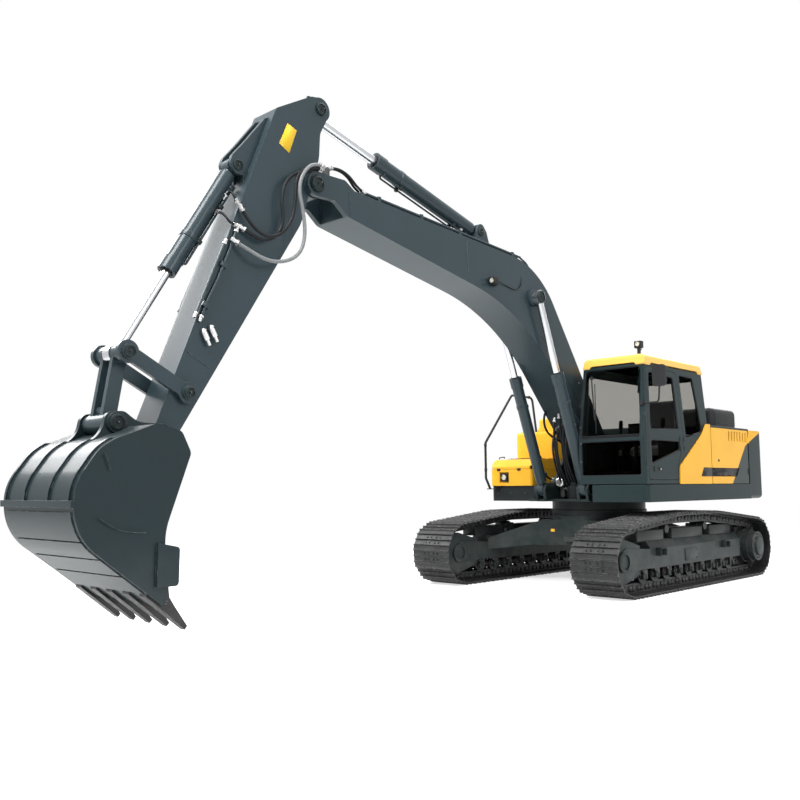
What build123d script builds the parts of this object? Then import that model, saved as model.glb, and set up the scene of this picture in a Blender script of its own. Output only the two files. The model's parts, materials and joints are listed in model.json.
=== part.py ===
from build123d import *
import os
from math import acos, asin, atan2, cos, hypot, pi, radians, sin, tan

# Crawler excavator, millimetres.  +X is forward, +Y is left, +Z is up.  The model is worked out about
# the slew axis at ground level, and write_parts() moves it so that the origin lies under its middle.

# ---------------------------------------------------------------- clearances and plate
SEAT = 0.3            # pieces that bear on each other across two bodies
SIDE_PLAY = 5         # beside an eye that turns between plates
PIN_PLAY = 0.5        # round a pin or a rod
PANEL_GAP = 6         # round a door or a lid
PLATE = 12            # box walls of the boom and the arm
SHEET = 6             # walls of covers and tanks

# ---------------------------------------------------------------- tracks
TUMBLER_DISTANCE = 3560
TRACK_GAUGE = 2390
SHOE_WIDTH = 600
LINK_PITCH = 190      # near enough: the shoes share the loop evenly
GROUSER_HEIGHT = 26
SHOE_PLATE = 10
PIN_TO_PLATE = 47     # pin centre out to the back of the shoe
PIN_TO_RAIL = 58      # pin centre in to the running surface
PITCH_RADIUS = 322    # chain pins round the sprocket
RAIL_OFFSET, RAIL_THICK = 75, 40
SPROCKET_TEETH = 21
ROLLER_RADIUS, ROLLER_COUNT, FIRST_ROLLER_X = 75, 9, TUMBLER_DISTANCE / 2 - 505
ROLLER_PITCH = (TUMBLER_DISTANCE - 1170) / (ROLLER_COUNT - 1)
CARRIER_RADIUS, CARRIER_PIN_Z = 60, 848
CARRIER_X = (TUMBLER_DISTANCE / 6, -TUMBLER_DISTANCE / 7.5)

# ---------------------------------------------------------------- lower frame
FRAME_BEAM_HALF = 165
FRAME_BEAM_BOTTOM, FRAME_BEAM_TOP = 290, 610
FRAME_FRONT, FRAME_REAR = TUMBLER_DISTANCE / 2 - 645, 385 - TUMBLER_DISTANCE / 2
GROUND_CLEARANCE = 480
CARBODY_TOP = 880
RING_RADIUS = 640
RING_SPLIT = 940

# ---------------------------------------------------------------- half widths of the working gear
BOOM_HALF = 230
ARM_HALF = 170
BUCKET_HALF = 600

# ---------------------------------------------------------------- house
DECK_BOTTOM, DECK_TOP = 1060, 1270
HOUSE_HALF = 1340
HOUSE_REAR = -1940
LEFT_DECK_FRONT, RIGHT_DECK_FRONT = 1120, 660
DECK_INNER = 590
HOOD_TOP = 2060
TAIL_RADIUS = 2750
CAB_INNER, CAB_OUTER = BOOM_HALF + 184, HOUSE_HALF - 5
CAB_REAR, CAB_FRONT = -610, 1115
CAB_FLOOR, CAB_TOP = 1280, 2780
CAB_WALL = 32
ROOF_TOP = 2890
WEB_INNER, WEB_OUTER = BOOM_HALF + 6, BOOM_HALF + 46

# ---------------------------------------------------------------- holes for slings and shackles
LIFT_HOLE_X, LIFT_HOLE_Y = -2590, 650
LIFT_HOLE_RADIUS, LIFT_HOLE_DEPTH = 18, 70
TOW_PIN = (700, 560)
TOW_RADIUS, TOW_PLATE = 33, 50

# ---------------------------------------------------------------- working gear, pins in the X-Z plane
FOOT_PIN = (200, 1720)
ARM_PIN = (5326, 4157)
BOOM_BASE_PIN = (850, 1220)
BOOM_ROD_PIN = (1800, 3580)
ARM_BASE_PIN = (2640, 4275)
ARM_ROD_PIN = (5230, 4945)
BUCKET_BASE_PIN = (6150, 4160)
GUIDE_PIN = (6705, 2050)
LINK_PIN = (7251, 2335)
BUCKET_PIN = (6895, 1679)
BUCKET_LINK_PIN = (7345, 1775)
PIN_RADIUS = 45
FOOT_PIN_RADIUS = 55
ARM_PIN_RADIUS = 50

# name: bore side radius, rod radius, barrel end and rod length from their pins, eye half width, y places
CYLINDERS = {
    "boom": dict(base=BOOM_BASE_PIN, rod=BOOM_ROD_PIN, outer=73, shaft=43, barrel=1560, reach=1630,
                 eye=88, half=42, places=(-BOOM_HALF - 91, BOOM_HALF + 91)),
    "arm": dict(base=ARM_BASE_PIN, rod=ARM_ROD_PIN, outer=88, shaft=50, barrel=1750, reach=1960,
                eye=95, half=60, places=(0,)),
    "bucket": dict(base=BUCKET_BASE_PIN, rod=LINK_PIN, outer=73, shaft=43, barrel=1260, reach=1605,
                   eye=80, half=50, places=(0,)),
}


# ================================================================ shape helpers
def outline(rows):
    """Face in the drawing plane; each row is one corner as (across, up, corner radius)."""
    corners = [Vector(a, b, 0) for a, b, _ in rows]
    cuts = []
    for i, (_, _, radius) in enumerate(rows):
        here = corners[i]
        back = (corners[i - 1] - here).normalized()
        ahead = (corners[(i + 1) % len(rows)] - here).normalized()
        if radius == 0:
            cuts.append((here, here, None))
            continue
        half = radians(back.get_angle(ahead)) / 2
        reach = radius / tan(half)
        middle = here + (back + ahead).normalized() * (radius / sin(half) - radius)
        cuts.append((here + back * reach, here + ahead * reach, middle))
    edges = []
    for i, (start, end, middle) in enumerate(cuts):
        if middle is not None:
            edges.append(Edge.make_three_point_arc(start, middle, end))
        following = cuts[(i + 1) % len(cuts)][0]
        if (following - end).length > 0.01:
            edges.append(Edge.make_line(end, following))
    return Face(Wire(edges))


def raised(rows, height):
    """The outline made a plate of some height above its drawing plane."""
    return extrude(outline(rows), height, dir=(0, 0, 1))


def offset_rows(rows, amount):
    """Corner rows of a closed outline moved outward by an amount, or inward if it is negative."""
    count = len(rows)
    area = sum(rows[i - 1][0] * rows[i][1] - rows[i][0] * rows[i - 1][1] for i in range(count))
    turn = 1 if area > 0 else -1
    moved = []
    for i, (a, b, radius) in enumerate(rows):
        before, after = along(rows[i - 1], (a, b)), along((a, b), rows[(i + 1) % count])
        normals = [(turn * d[1], -turn * d[0]) for d in (before, after)]
        size = amount / (1 + normals[0][0] * normals[1][0] + normals[0][1] * normals[1][1])
        convex = turn * (before[0] * after[1] - before[1] * after[0]) > 0
        moved.append((a + (normals[0][0] + normals[1][0]) * size, b + (normals[0][1] + normals[1][1]) * size,
                      max(radius + (amount if convex else -amount), 0) if radius else 0))
    return moved


def xz(rows, y_from, y_to):
    """Side profile (x, z, radius) between two widths."""
    return Pos(0, y_to, 0) * (Plane.XZ * raised(rows, y_to - y_from))


def yz(rows, x_from, x_to):
    """Front profile (y, z, radius) between two lengths."""
    return Pos(x_from, 0, 0) * (Plane.YZ * raised(rows, x_to - x_from))


def xy(rows, z_from, z_to):
    """Plan profile (x, y, radius) between two heights."""
    return Pos(0, 0, z_from) * raised(rows, z_to - z_from)


def block(x_from, x_to, y_from, y_to, z_from, z_to):
    return Pos((x_from + x_to) / 2, (y_from + y_to) / 2, (z_from + z_to) / 2) * Box(
        x_to - x_from, y_to - y_from, z_to - z_from)


def pin(place, radius, y_from, y_to):
    """Round bar along Y through a place in the X-Z plane."""
    return Pos(place[0], (y_from + y_to) / 2, place[1]) * Rot(90, 0, 0) * Cylinder(radius, y_to - y_from)


def upright(x, y, radius, z_from, z_to):
    return Pos(x, y, (z_from + z_to) / 2) * Cylinder(radius, z_to - z_from)


def both_sides(part):
    return [part, mirror(part, about=Plane.XZ)]


def joined(parts):
    """One shape from touching parts."""
    whole = parts[0]
    for part in parts[1:]:
        whole = whole + part
    return whole


def at_sides(part, offset):
    """The same piece on the left and on the right track line."""
    return [Pos(0, offset, 0) * part, Pos(0, -offset, 0) * part]


def along(start, end):
    """Unit vector and length from one place to another in the X-Z plane."""
    length = hypot(end[0] - start[0], end[1] - start[1])
    return (end[0] - start[0]) / length, (end[1] - start[1]) / length, length


def bar(start, end, y, radius, gap_start=0, gap_end=0):
    """Round bar from start towards end in the X-Z plane, at width y."""
    dx, dz, length = along(start, end)
    origin = (start[0] + dx * gap_start, y, start[1] + dz * gap_start)
    plane = Plane(origin=origin, x_dir=(0, 1, 0), z_dir=(dx, 0, dz))
    return plane * Cylinder(radius, length - gap_start - gap_end,
                            align=(Align.CENTER, Align.CENTER, Align.MIN))


def plate_between(start, end, half_depth, y_from, y_to):
    """Flat link between two places in the X-Z plane, square at both ends."""
    dx, dz, length = along(start, end)
    plane = Plane(origin=(start[0], y_to, start[1]), x_dir=(dx, 0, dz), z_dir=(0, -1, 0))
    rows = [(0, -half_depth, 0), (length, -half_depth, 0), (length, half_depth, 0), (0, half_depth, 0)]
    return plane * raised(rows, y_to - y_from)


# ================================================================ track path
PIN_HEIGHT = GROUSER_HEIGHT + SHOE_PLATE + PIN_TO_PLATE   # lowest chain pins above the ground
AXLE_Z = PIN_HEIGHT + PITCH_RADIUS
RAIL_Z = PIN_HEIGHT + PIN_TO_RAIL
CARRIER_TURN = CARRIER_RADIUS + PIN_TO_RAIL
WHEELS = [(TUMBLER_DISTANCE / 2, AXLE_Z, PITCH_RADIUS)]
WHEELS += [(x, CARRIER_PIN_Z - CARRIER_TURN, CARRIER_TURN) for x in CARRIER_X]
WHEELS += [(-TUMBLER_DISTANCE / 2, AXLE_Z, PITCH_RADIUS)]


def belt(wheels):
    """Lines and arcs of a belt round the wheels, counter-clockwise from the first wheel's top."""
    runs = []
    count = len(wheels)
    leave = []
    for i in range(count):
        x1, z1, r1 = wheels[i]
        x2, z2, r2 = wheels[(i + 1) % count]
        distance = hypot(x2 - x1, z2 - z1)
        heading = atan2(z2 - z1, x2 - x1)
        leave.append(heading - acos((r1 - r2) / distance))
    for i in range(count):
        x1, z1, r1 = wheels[i]
        x2, z2, r2 = wheels[(i + 1) % count]
        arrive = leave[i - 1]
        turn = (leave[i] - arrive) % (2 * pi)
        runs.append(("arc", (x1, z1), r1, arrive, turn, r1 * turn))
        start = (x1 + r1 * cos(leave[i]), z1 + r1 * sin(leave[i]))
        end = (x2 + r2 * cos(leave[i]), z2 + r2 * sin(leave[i]))
        runs.append(("line", start, end, leave[i], 0, hypot(end[0] - start[0], end[1] - start[1])))
    return runs


def belt_point(runs, distance):
    """Place on the belt and the outward direction there."""
    for run in runs:
        if distance <= run[5]:
            break
        distance -= run[5]
    if run[0] == "arc":
        _, centre, radius, arrive, turn, length = run
        angle = arrive + turn * distance / length
        return (centre[0] + radius * cos(angle), centre[1] + radius * sin(angle)), angle
    _, start, end, angle, _, length = run
    share = distance / length
    return (start[0] + (end[0] - start[0]) * share, start[1] + (end[1] - start[1]) * share), angle


CHAIN = belt(WHEELS)
CHAIN_LENGTH = sum(run[5] for run in CHAIN)
SHOE_COUNT = round(CHAIN_LENGTH / LINK_PITCH)
SHOE_PITCH = CHAIN_LENGTH / SHOE_COUNT
HALF_LINK_ANGLE = asin(SHOE_PITCH / 2 / PITCH_RADIUS)
IDLER_RADIUS = PITCH_RADIUS * cos(HALF_LINK_ANGLE) - PIN_TO_RAIL - SEAT


def chain_pins():
    """Chain pin places, evenly spaced round the loop."""
    return [belt_point(CHAIN, i * SHOE_PITCH)[0] for i in range(SHOE_COUNT)]


def shoe_frames():
    """Middle, direction along and direction outward of every link."""
    pins = chain_pins()
    frames = []
    for i, start in enumerate(pins):
        end = pins[(i + 1) % len(pins)]
        ax, az, length = along(start, end)
        middle = ((start[0] + end[0]) / 2, (start[1] + end[1]) / 2)
        frames.append((middle, (ax, az), (az, -ax), length))
    return frames


# shoe section along its pitch: (share of the pitch, height above the back of the plate)
SHOE_SECTION = [
    (-0.47, SHOE_PLATE), (-0.41, SHOE_PLATE + GROUSER_HEIGHT), (-0.35, SHOE_PLATE),
    (-0.06, SHOE_PLATE), (0.0, SHOE_PLATE + GROUSER_HEIGHT), (0.06, SHOE_PLATE),
    (0.35, SHOE_PLATE), (0.41, SHOE_PLATE + GROUSER_HEIGHT), (0.47, SHOE_PLATE),
]


def loop_points(height):
    """Corners of the loop at one height over the chain pins, one at each pin."""
    frames = shoe_frames()
    points = []
    for i, (middle, ahead, out, length) in enumerate(frames):
        before = frames[i - 1]
        ox, oz = out[0] + before[2][0], out[1] + before[2][1]
        size = hypot(ox, oz)
        stretch = 2 / size
        corner = (middle[0] - ahead[0] * length / 2, middle[1] - ahead[1] * length / 2)
        points.append((corner[0] + ox / size * height * stretch, corner[1] + oz / size * height * stretch))
    return points


def closed(points, y_from, y_to):
    return xz([(x, z, 0) for x, z in points], y_from, y_to)


def track():
    """Chain and shoes as one closed loop about y = 0."""
    outer = []
    for middle, ahead, out, length in shoe_frames():
        for share, height in SHOE_SECTION:
            along_link, up = share * length, PIN_TO_PLATE + height
            outer.append((middle[0] + ahead[0] * along_link + out[0] * up,
                          middle[1] + ahead[1] * along_link + out[1] * up))
    back = loop_points(PIN_TO_PLATE)
    belt_of_shoes = closed(outer, -SHOE_WIDTH / 2, SHOE_WIDTH / 2) - closed(
        back, -SHOE_WIDTH / 2 - 1, SHOE_WIDTH / 2 + 1)
    rails = []
    for side in (-1, 1):
        low, high = sorted((side * (RAIL_OFFSET - RAIL_THICK / 2), side * (RAIL_OFFSET + RAIL_THICK / 2)))
        rails.append(closed(back, low, high) - closed(loop_points(-PIN_TO_RAIL), low - 1, high + 1))
    return joined([belt_of_shoes] + rails)


def sprocket():
    """Toothed ring on its disc."""
    tip = PITCH_RADIUS + 18
    root = PITCH_RADIUS - 28
    rows = []
    for i in range(SPROCKET_TEETH):
        middle = 2 * pi * i / SPROCKET_TEETH
        pitch = 2 * pi / SPROCKET_TEETH
        for share, radius in ((-0.32, root), (-0.10, tip), (0.10, tip), (0.32, root)):
            angle = middle + share * pitch
            rows.append((radius * cos(angle), radius * sin(angle), 0))
    centre = (-TUMBLER_DISTANCE / 2, AXLE_Z)
    teeth = Pos(centre[0], 0, centre[1]) * xz(rows, -32, 32)
    dish = pin(centre, 235, -45, 45)
    return teeth + dish


def idler():
    """Front wheel with its middle flange and hub."""
    centre = (TUMBLER_DISTANCE / 2, AXLE_Z)
    rim = pin(centre, IDLER_RADIUS, -RAIL_OFFSET - 30, RAIL_OFFSET + 30)
    dish = pin(centre, IDLER_RADIUS - 45, -RAIL_OFFSET - 31, -38) + pin(
        centre, IDLER_RADIUS - 45, 38, RAIL_OFFSET + 31)
    hub = pin(centre, 85, -FRAME_BEAM_HALF + 30, FRAME_BEAM_HALF - 30)
    flange = pin(centre, IDLER_RADIUS + 20, -RAIL_OFFSET + 26, RAIL_OFFSET - 26)
    return rim - dish + hub + flange


def track_roller(x):
    """Lower roller: two treads with flanges, its shaft and end collars."""
    place = (x, RAIL_Z + ROLLER_RADIUS + SEAT)
    parts = [pin(place, 52, -124, 124)]
    for side in (-1, 1):
        low, high = sorted((side * 124, side * (FRAME_BEAM_HALF - 3)))
        parts.append(block(x - 45, x + 45, low, high, place[1] - 35, FRAME_BEAM_BOTTOM))
        tread = sorted((side * 40, side * 104))
        flange = sorted((side * 100, side * 118))
        parts += [pin(place, ROLLER_RADIUS, *tread), pin(place, ROLLER_RADIUS + 16, *flange)]
    return joined(parts)


def carrier_roller(x):
    """Upper roller on a stub shaft from its bracket."""
    place = (x, CARRIER_PIN_Z - CARRIER_TURN)
    drum = pin(place, CARRIER_RADIUS - 9, -100, 100)
    return joined([drum, pin(place, CARRIER_RADIUS + 4, -12, 12), pin(place, 32, -104, -99)])


def track_frame():
    """Beam of one track with its idler fork, roller brackets and drive plate, about y = 0."""
    half, low, high = FRAME_BEAM_HALF, FRAME_BEAM_BOTTOM, FRAME_BEAM_TOP
    section = [(-half, low, 0), (half, low, 0), (half, high - 90, 0), (half - 75, high, 20),
               (-half + 75, high, 20), (-half, high - 90, 0)]
    beam = yz(section, FRAME_REAR, FRAME_FRONT)
    hollow = [(-half + 14, low - 1, 0), (half - 14, low - 1, 0), (half - 14, high - 96, 0),
              (half - 80, high - 14, 0), (-half + 80, high - 14, 0), (-half + 14, high - 96, 0)]
    beam -= yz(hollow, FRAME_REAR + 60, FRAME_FRONT - 60)
    axle_x = TUMBLER_DISTANCE / 2
    cheek = [(FRAME_FRONT - 60, low + 10, 0), (axle_x + 60, low - 10, 60), (axle_x + 120, AXLE_Z + 70, 70),
             (axle_x - 60, AXLE_Z + 150, 60), (FRAME_FRONT - 60, high - 95, 0)]
    fork = [xz(cheek, half - 30, half)] + [xz(cheek, -half, -half + 30)]
    saddle = [xz([(FRAME_REAR - 420, AXLE_Z - 150, 80), (FRAME_REAR, low, 0), (FRAME_REAR, high - 90, 0),
                  (FRAME_REAR - 420, AXLE_Z + 170, 80)], -half, -half + 45)]
    brackets = []
    for x in CARRIER_X:
        height = CARRIER_PIN_Z - CARRIER_TURN
        post = xz([(x - 60, high - 90, 0), (x + 60, high - 90, 0), (x + 45, height + 30, 20),
                   (x - 45, height + 30, 20)], -150, -104)
        brackets.append(post)
    return joined([beam] + fork + saddle + brackets)


def final_drive():
    """Stepped gear case of one sprocket with its hub cover, outward along +Y."""
    centre = (-TUMBLER_DISTANCE / 2, AXLE_Z)
    steps = ((235, 45.3, 100), (215, 100, 190), (200, 190, 270), (130, 270, 288))
    outer = joined([pin(centre, radius, low, high) for radius, low, high in steps])
    motor = pin(centre, 150, -120, -45.3) + pin(centre, 118, -280, -165.3)
    return [outer, motor]


def carbody():
    """Centre box, four legs and the bearing seat, plated and open below."""
    low, high = GROUND_CLEARANCE, CARBODY_TOP
    wall = 25
    inner_side = TRACK_GAUGE / 2 - FRAME_BEAM_HALF

    def form(inset):
        """The whole outer form with its plates drawn in by an inset."""
        top = high - 70 - inset
        centre = xy([(620 - inset, 560 - inset, 120), (-620 + inset, 560 - inset, 120),
                     (-620 + inset, -560 + inset, 120), (620 - inset, -560 + inset, 120)], low - inset, top)
        slope = yz([(-inner_side, low - 60 - inset, 0), (-520, low - inset, 0), (520, low - inset, 0),
                    (inner_side, low - 60 - inset, 0), (inner_side, low + 90 - inset, 0), (420, top, 120),
                    (-420, top, 120), (-inner_side, low + 90 - inset, 0)], -1500, 1500)
        legs = []
        for side in (-1, 1):
            for end in (-1, 1):
                plan = [(end * (120 + inset), side * 300, 0), (end * (620 - inset), side * 200, 0),
                        (end * (1160 - 2 * inset), side * (inner_side - inset), 0),
                        (end * (620 + inset), side * (inner_side - inset), 0)]
                legs.append(xy(plan, low - 120, high) & slope)
        return joined([centre] + legs)

    seat = upright(0, 0, RING_RADIUS - 20, high - 90, high)
    seat -= upright(0, 0, RING_RADIUS - 200, high - 200, high + 1)
    x, z = TOW_PIN
    lug = xy([(600, -150, 0), (x, -110, 60), (x + 80, -70, 60), (x + 80, 70, 60), (x, 110, 60),
              (600, 150, 0)], z - TOW_PLATE / 2, z + TOW_PLATE / 2)
    return form(0) - form(wall) + seat + lug - upright(x, 0, TOW_RADIUS, z - TOW_PLATE, z + TOW_PLATE)


# ================================================================ house
def slew_ring_lower():
    return upright(0, 0, RING_RADIUS, CARBODY_TOP, RING_SPLIT) - upright(
        0, 0, RING_RADIUS - 120, CARBODY_TOP - 1, RING_SPLIT + 1)


def slew_ring_upper():
    return upright(0, 0, RING_RADIUS - 15, RING_SPLIT + SIDE_PLAY, DECK_BOTTOM) - upright(
        0, 0, RING_RADIUS - 120, RING_SPLIT, DECK_BOTTOM + 1)


def main_frame():
    """Bottom plate and the two webs that carry the boom foot and the boom cylinders."""
    floor = block(HOUSE_REAR, 800, -DECK_INNER, DECK_INNER, DECK_BOTTOM, DECK_BOTTOM + 30)
    base = CYLINDERS["boom"]
    px, pz = BOOM_BASE_PIN
    lug_in = base["places"][1] + base["half"] + SIDE_PLAY
    lug_out = lug_in + 36
    web = [(HOUSE_REAR, DECK_BOTTOM + 20, 0), (px + 60, DECK_BOTTOM + 20, 20), (px + 90, pz, 80),
           (px + 20, pz + 92, 70), (px - 150, pz + 80, 150), (FOOT_PIN[0] + 150, FOOT_PIN[1] + 60, 60),
           (FOOT_PIN[0] + 110, FOOT_PIN[1] + 160, 60), (FOOT_PIN[0] - 130, FOOT_PIN[1] + 160, 60),
           (-260, 1420, 300), (-1100, 1190, 300), (HOUSE_REAR, 1190, 0)]
    foot_boss = pin(FOOT_PIN, 150, WEB_INNER, WEB_OUTER + 30)
    lug_rows = [(px - 130, DECK_BOTTOM + 20, 0), (px + 60, DECK_BOTTOM + 20, 20), (px + 90, pz, 80),
                (px + 20, pz + 92, 70), (px - 100, pz + 70, 40)]
    shelf = block(px - 130, px + 40, WEB_OUTER, lug_out, DECK_BOTTOM, DECK_BOTTOM + 30)
    side = joined([xz(web, WEB_INNER, WEB_OUTER), foot_boss, xz(lug_rows, lug_in, lug_out), shelf])
    side -= pin(FOOT_PIN, FOOT_PIN_RADIUS + PIN_PLAY, WEB_INNER - 1, WEB_OUTER + 40)
    side -= pin(BOOM_BASE_PIN, PIN_RADIUS + PIN_PLAY, WEB_INNER - 1, lug_out + 1)
    return joined([floor] + both_sides(side))


def frame_pins():
    """Boom foot pin and the two base pins of the boom cylinders, each with its cap."""
    end = WEB_OUTER + 30
    foot = pin(FOOT_PIN, FOOT_PIN_RADIUS, -end, end)
    caps = [pin(FOOT_PIN, 95, end, end + 14), pin(FOOT_PIN, 95, -end - 14, -end)]
    base = CYLINDERS["boom"]
    lug_out = base["places"][1] + base["half"] + SIDE_PLAY + 36
    low = pin(BOOM_BASE_PIN, PIN_RADIUS, WEB_INNER, lug_out)
    return [joined([foot] + caps)] + both_sides(low)


def deck(front, side):
    """Tray of one side with its edge beam, open below."""
    low, high = DECK_BOTTOM, DECK_TOP
    inner, outer = DECK_INNER, HOUSE_HALF
    plan = [(front, inner, 0), (front, outer, 70), (HOUSE_REAR, outer, 0), (HOUSE_REAR, inner, 0)]
    hollow = [(front - 14, inner + 14, 0), (front - 14, outer - 14, 56), (HOUSE_REAR + 14, outer - 14, 0),
              (HOUSE_REAR + 14, inner + 14, 0)]
    tray = xy(plan, low, high) - xy(hollow, low - 1, high - 10)
    return tray if side > 0 else mirror(tray, about=Plane.XZ)


def counterweight():
    """Cast tail with a rounded plan and softened edges."""
    front, corner, half = HOUSE_REAR - SEAT, -2420, HOUSE_HALF - 8
    edges = [Edge.make_line((front, -half, 0), (corner, -half, 0)),
             Edge.make_three_point_arc((corner, -half, 0), (-TAIL_RADIUS, 0, 0), (corner, half, 0)),
             Edge.make_line((corner, half, 0), (front, half, 0)),
             Edge.make_line((front, half, 0), (front, -half, 0))]
    height = HOOD_TOP - 20 - DECK_BOTTOM
    solid = Pos(0, 0, DECK_BOTTOM) * extrude(Face(Wire(edges)), height, dir=(0, 0, 1))
    corners = [e for e in solid.edges().filter_by(Axis.Z) if e.center().X < corner + 10]
    solid = fillet(corners, 160)
    for face, radius in ((solid.faces().sort_by(Axis.Z)[-1], 95), (solid.faces().sort_by(Axis.Z)[0], 60)):
        solid = fillet([e for e in face.edges() if e.center().X < front - 10], radius)
    solid -= block(-2480, front + 1, 210 - HOUSE_HALF, HOUSE_HALF - 210, DECK_BOTTOM + 140, HOOD_TOP - 130)
    for y in (-LIFT_HOLE_Y, LIFT_HOLE_Y):
        top = HOOD_TOP - 20
        solid -= upright(LIFT_HOLE_X, y, LIFT_HOLE_RADIUS, top - LIFT_HOLE_DEPTH, top + 1)
    return solid


def cab_block(inset):
    """Outer form of the cab, drawn in by an inset all round."""
    side = [(CAB_REAR + inset, CAB_FLOOR + inset, 0), (CAB_FRONT - inset, CAB_FLOOR + inset, 0),
            (CAB_FRONT - inset, 1850, 300), (CAB_FRONT - 165 - inset, CAB_TOP - inset, 60),
            (CAB_REAR + inset, CAB_TOP - inset, 40)]
    front = [(CAB_INNER + inset, CAB_FLOOR + inset, 0), (CAB_OUTER - inset, CAB_FLOOR + inset, 0),
             (CAB_OUTER - inset, 1900, 600), (CAB_OUTER - 75 - inset, CAB_TOP - inset, 50),
             (CAB_INNER + inset, CAB_TOP - inset, 30)]
    return xz(side, CAB_INNER - 10, CAB_OUTER + 10) & yz(front, CAB_REAR - 10, CAB_FRONT + 10)


DOOR_ROWS = [(1055, 1330, 30), (1055, 1900, 60), (935, 2730, 60), (150, 2690, 50), (150, 1800, 60),
             (290, 1530, 60), (290, 1330, 30)]
DOOR_WINDOWS = {
    "upper": [(985, 1930, 40), (880, 2660, 60), (235, 2630, 50), (235, 1960, 40)],
    "lower": [(985, 1515, 40), (985, 1815, 40), (235, 1815, 30), (235, 1700, 40)],
}
REAR_QUARTER = [(60, 1860, 30), (60, 2680, 40), (-330, 2670, 40), (-440, 1960, 60)]
FRONT_WINDOWS = {
    "upper": [(CAB_INNER + 28, 1840, 30), (CAB_OUTER - 78, 1840, 30), (CAB_OUTER - 118, 2722, 60),
              (CAB_INNER + 28, 2722, 60)],
    "lower": [(CAB_INNER + 28, 1380, 30), (CAB_OUTER - 70, 1380, 30), (CAB_OUTER - 70, 1805, 30),
              (CAB_INNER + 28, 1805, 30)],
}
RIGHT_WINDOW = [(1000, 1500, 60), (880, 2660, 60), (-480, 2660, 60), (-480, 1780, 60), (300, 1780, 200),
                (420, 1500, 60)]
REAR_WINDOW = [(CAB_INNER + 46, 1900, 60), (CAB_OUTER - 135, 1900, 60), (CAB_OUTER - 165, 2660, 60),
               (CAB_INNER + 46, 2660, 60)]
SKYLIGHT = [(100, 480, 60), (760, 480, 60), (760, 1120, 60), (100, 1120, 60)]


def grown(rows, amount):
    """The same corner rows moved out from their middle by an amount."""
    mid_a = sum(r[0] for r in rows) / len(rows)
    mid_b = sum(r[1] for r in rows) / len(rows)
    return [(a + (amount if a > mid_a else -amount), b + (amount if b > mid_b else -amount), r)
            for a, b, r in rows]


def cab_parts():
    """Shell, door and panes, all cut from the same hollow form."""
    hollow = cab_block(0) - cab_block(CAB_WALL)
    glass = cab_block(12) - cab_block(18)
    left = (CAB_OUTER - 160, CAB_OUTER + 5)
    right = (CAB_INNER - 5, CAB_INNER + 60)
    front = (CAB_FRONT - 230, CAB_FRONT + 5)
    rear = (CAB_REAR - 5, CAB_REAR + 60)
    door_slab = xz(DOOR_ROWS, *left)
    door_hole = xz(grown(DOOR_ROWS, PANEL_GAP), *left)
    door = hollow & door_slab
    door_glass = []
    for rows in DOOR_WINDOWS.values():
        door -= xz(rows, *left)
        door_glass.append(glass & xz(rows, *left))
    hx, hy = DOOR_HINGE
    for z in (1690, 1810):
        door += upright(hx, hy, KNUCKLE - 1, z, z + 60)
        door += block(hx, hx + 90, CAB_OUTER + 1, hy, z, z + 60)
        door += block(hx + 62, hx + 90, CAB_OUTER - 5, hy, z, z + 60)
    shell = hollow - door_hole
    panes = []
    cuts = [(xz, REAR_QUARTER, left), (xz, RIGHT_WINDOW, right), (yz, REAR_WINDOW, rear)]
    cuts += [(yz, rows, front) for rows in FRONT_WINDOWS.values()]
    for cut, rows, span in cuts:
        shell -= cut(rows, *span)
        panes.append(glass & cut(rows, *span))
    shell -= xy(SKYLIGHT, CAB_TOP - 60, CAB_TOP + 5)
    return shell, door, panes, door_glass


def cab_roof():
    """Cap over the cab with drooping corners and a skylight opening."""
    side = [(CAB_REAR - 12, CAB_TOP - 60, 20), (CAB_FRONT - 145, CAB_TOP - 45, 20),
            (CAB_FRONT - 170, ROOF_TOP - 12, 60), (700, ROOF_TOP, 400), (-300, ROOF_TOP, 200),
            (CAB_REAR + 20, ROOF_TOP - 25, 60)]
    front = [(CAB_INNER - 6, CAB_TOP - 50, 20), (CAB_OUTER - 55, CAB_TOP - 50, 20),
             (CAB_OUTER - 80, ROOF_TOP - 20, 60), (850, ROOF_TOP, 900), (CAB_INNER + 15, ROOF_TOP - 20, 60)]
    cap = xz(side, CAB_INNER - 20, CAB_OUTER) & yz(front, CAB_REAR - 20, CAB_FRONT)
    room = xy([(-540, CAB_INNER + 46, 60), (880, CAB_INNER + 46, 60), (880, CAB_OUTER - 155, 60),
               (-540, CAB_OUTER - 155, 60)], CAB_TOP - 5, ROOF_TOP - 45)
    frame = xy(grown(SKYLIGHT, 20), CAB_TOP - 5, ROOF_TOP - 40)
    brow = yz([(CAB_INNER + 60, CAB_TOP - 80, 0), (CAB_OUTER - 160, CAB_TOP - 80, 0),
               (CAB_OUTER - 200, CAB_TOP - 8, 40), (CAB_INNER + 110, CAB_TOP - 8, 40)], 700, CAB_FRONT)
    eave = xz([(CAB_REAR + 90, CAB_TOP - 80, 0), (CAB_FRONT - 260, CAB_TOP - 80, 0),
               (CAB_FRONT - 310, CAB_TOP - 12, 40), (CAB_REAR + 130, CAB_TOP - 12, 40)],
              CAB_OUTER - 200, CAB_OUTER)
    return cap - cab_block(-SEAT) - (room - frame) - xy(SKYLIGHT, CAB_TOP - 60, ROOF_TOP + 10) - brow - eave


def skylight():
    return xy(SKYLIGHT, CAB_TOP + 20, CAB_TOP + 28)


def rounded_box(x_from, x_to, y_from, y_to, z_from, z_to, radius):
    """Box with rounded upright and upper edges."""
    solid = block(x_from, x_to, y_from, y_to, z_from, z_to)
    solid = fillet(solid.edges().filter_by(Axis.Z), radius)
    return fillet(solid.faces().sort_by(Axis.Z)[-1].edges(), radius * 0.6)


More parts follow.
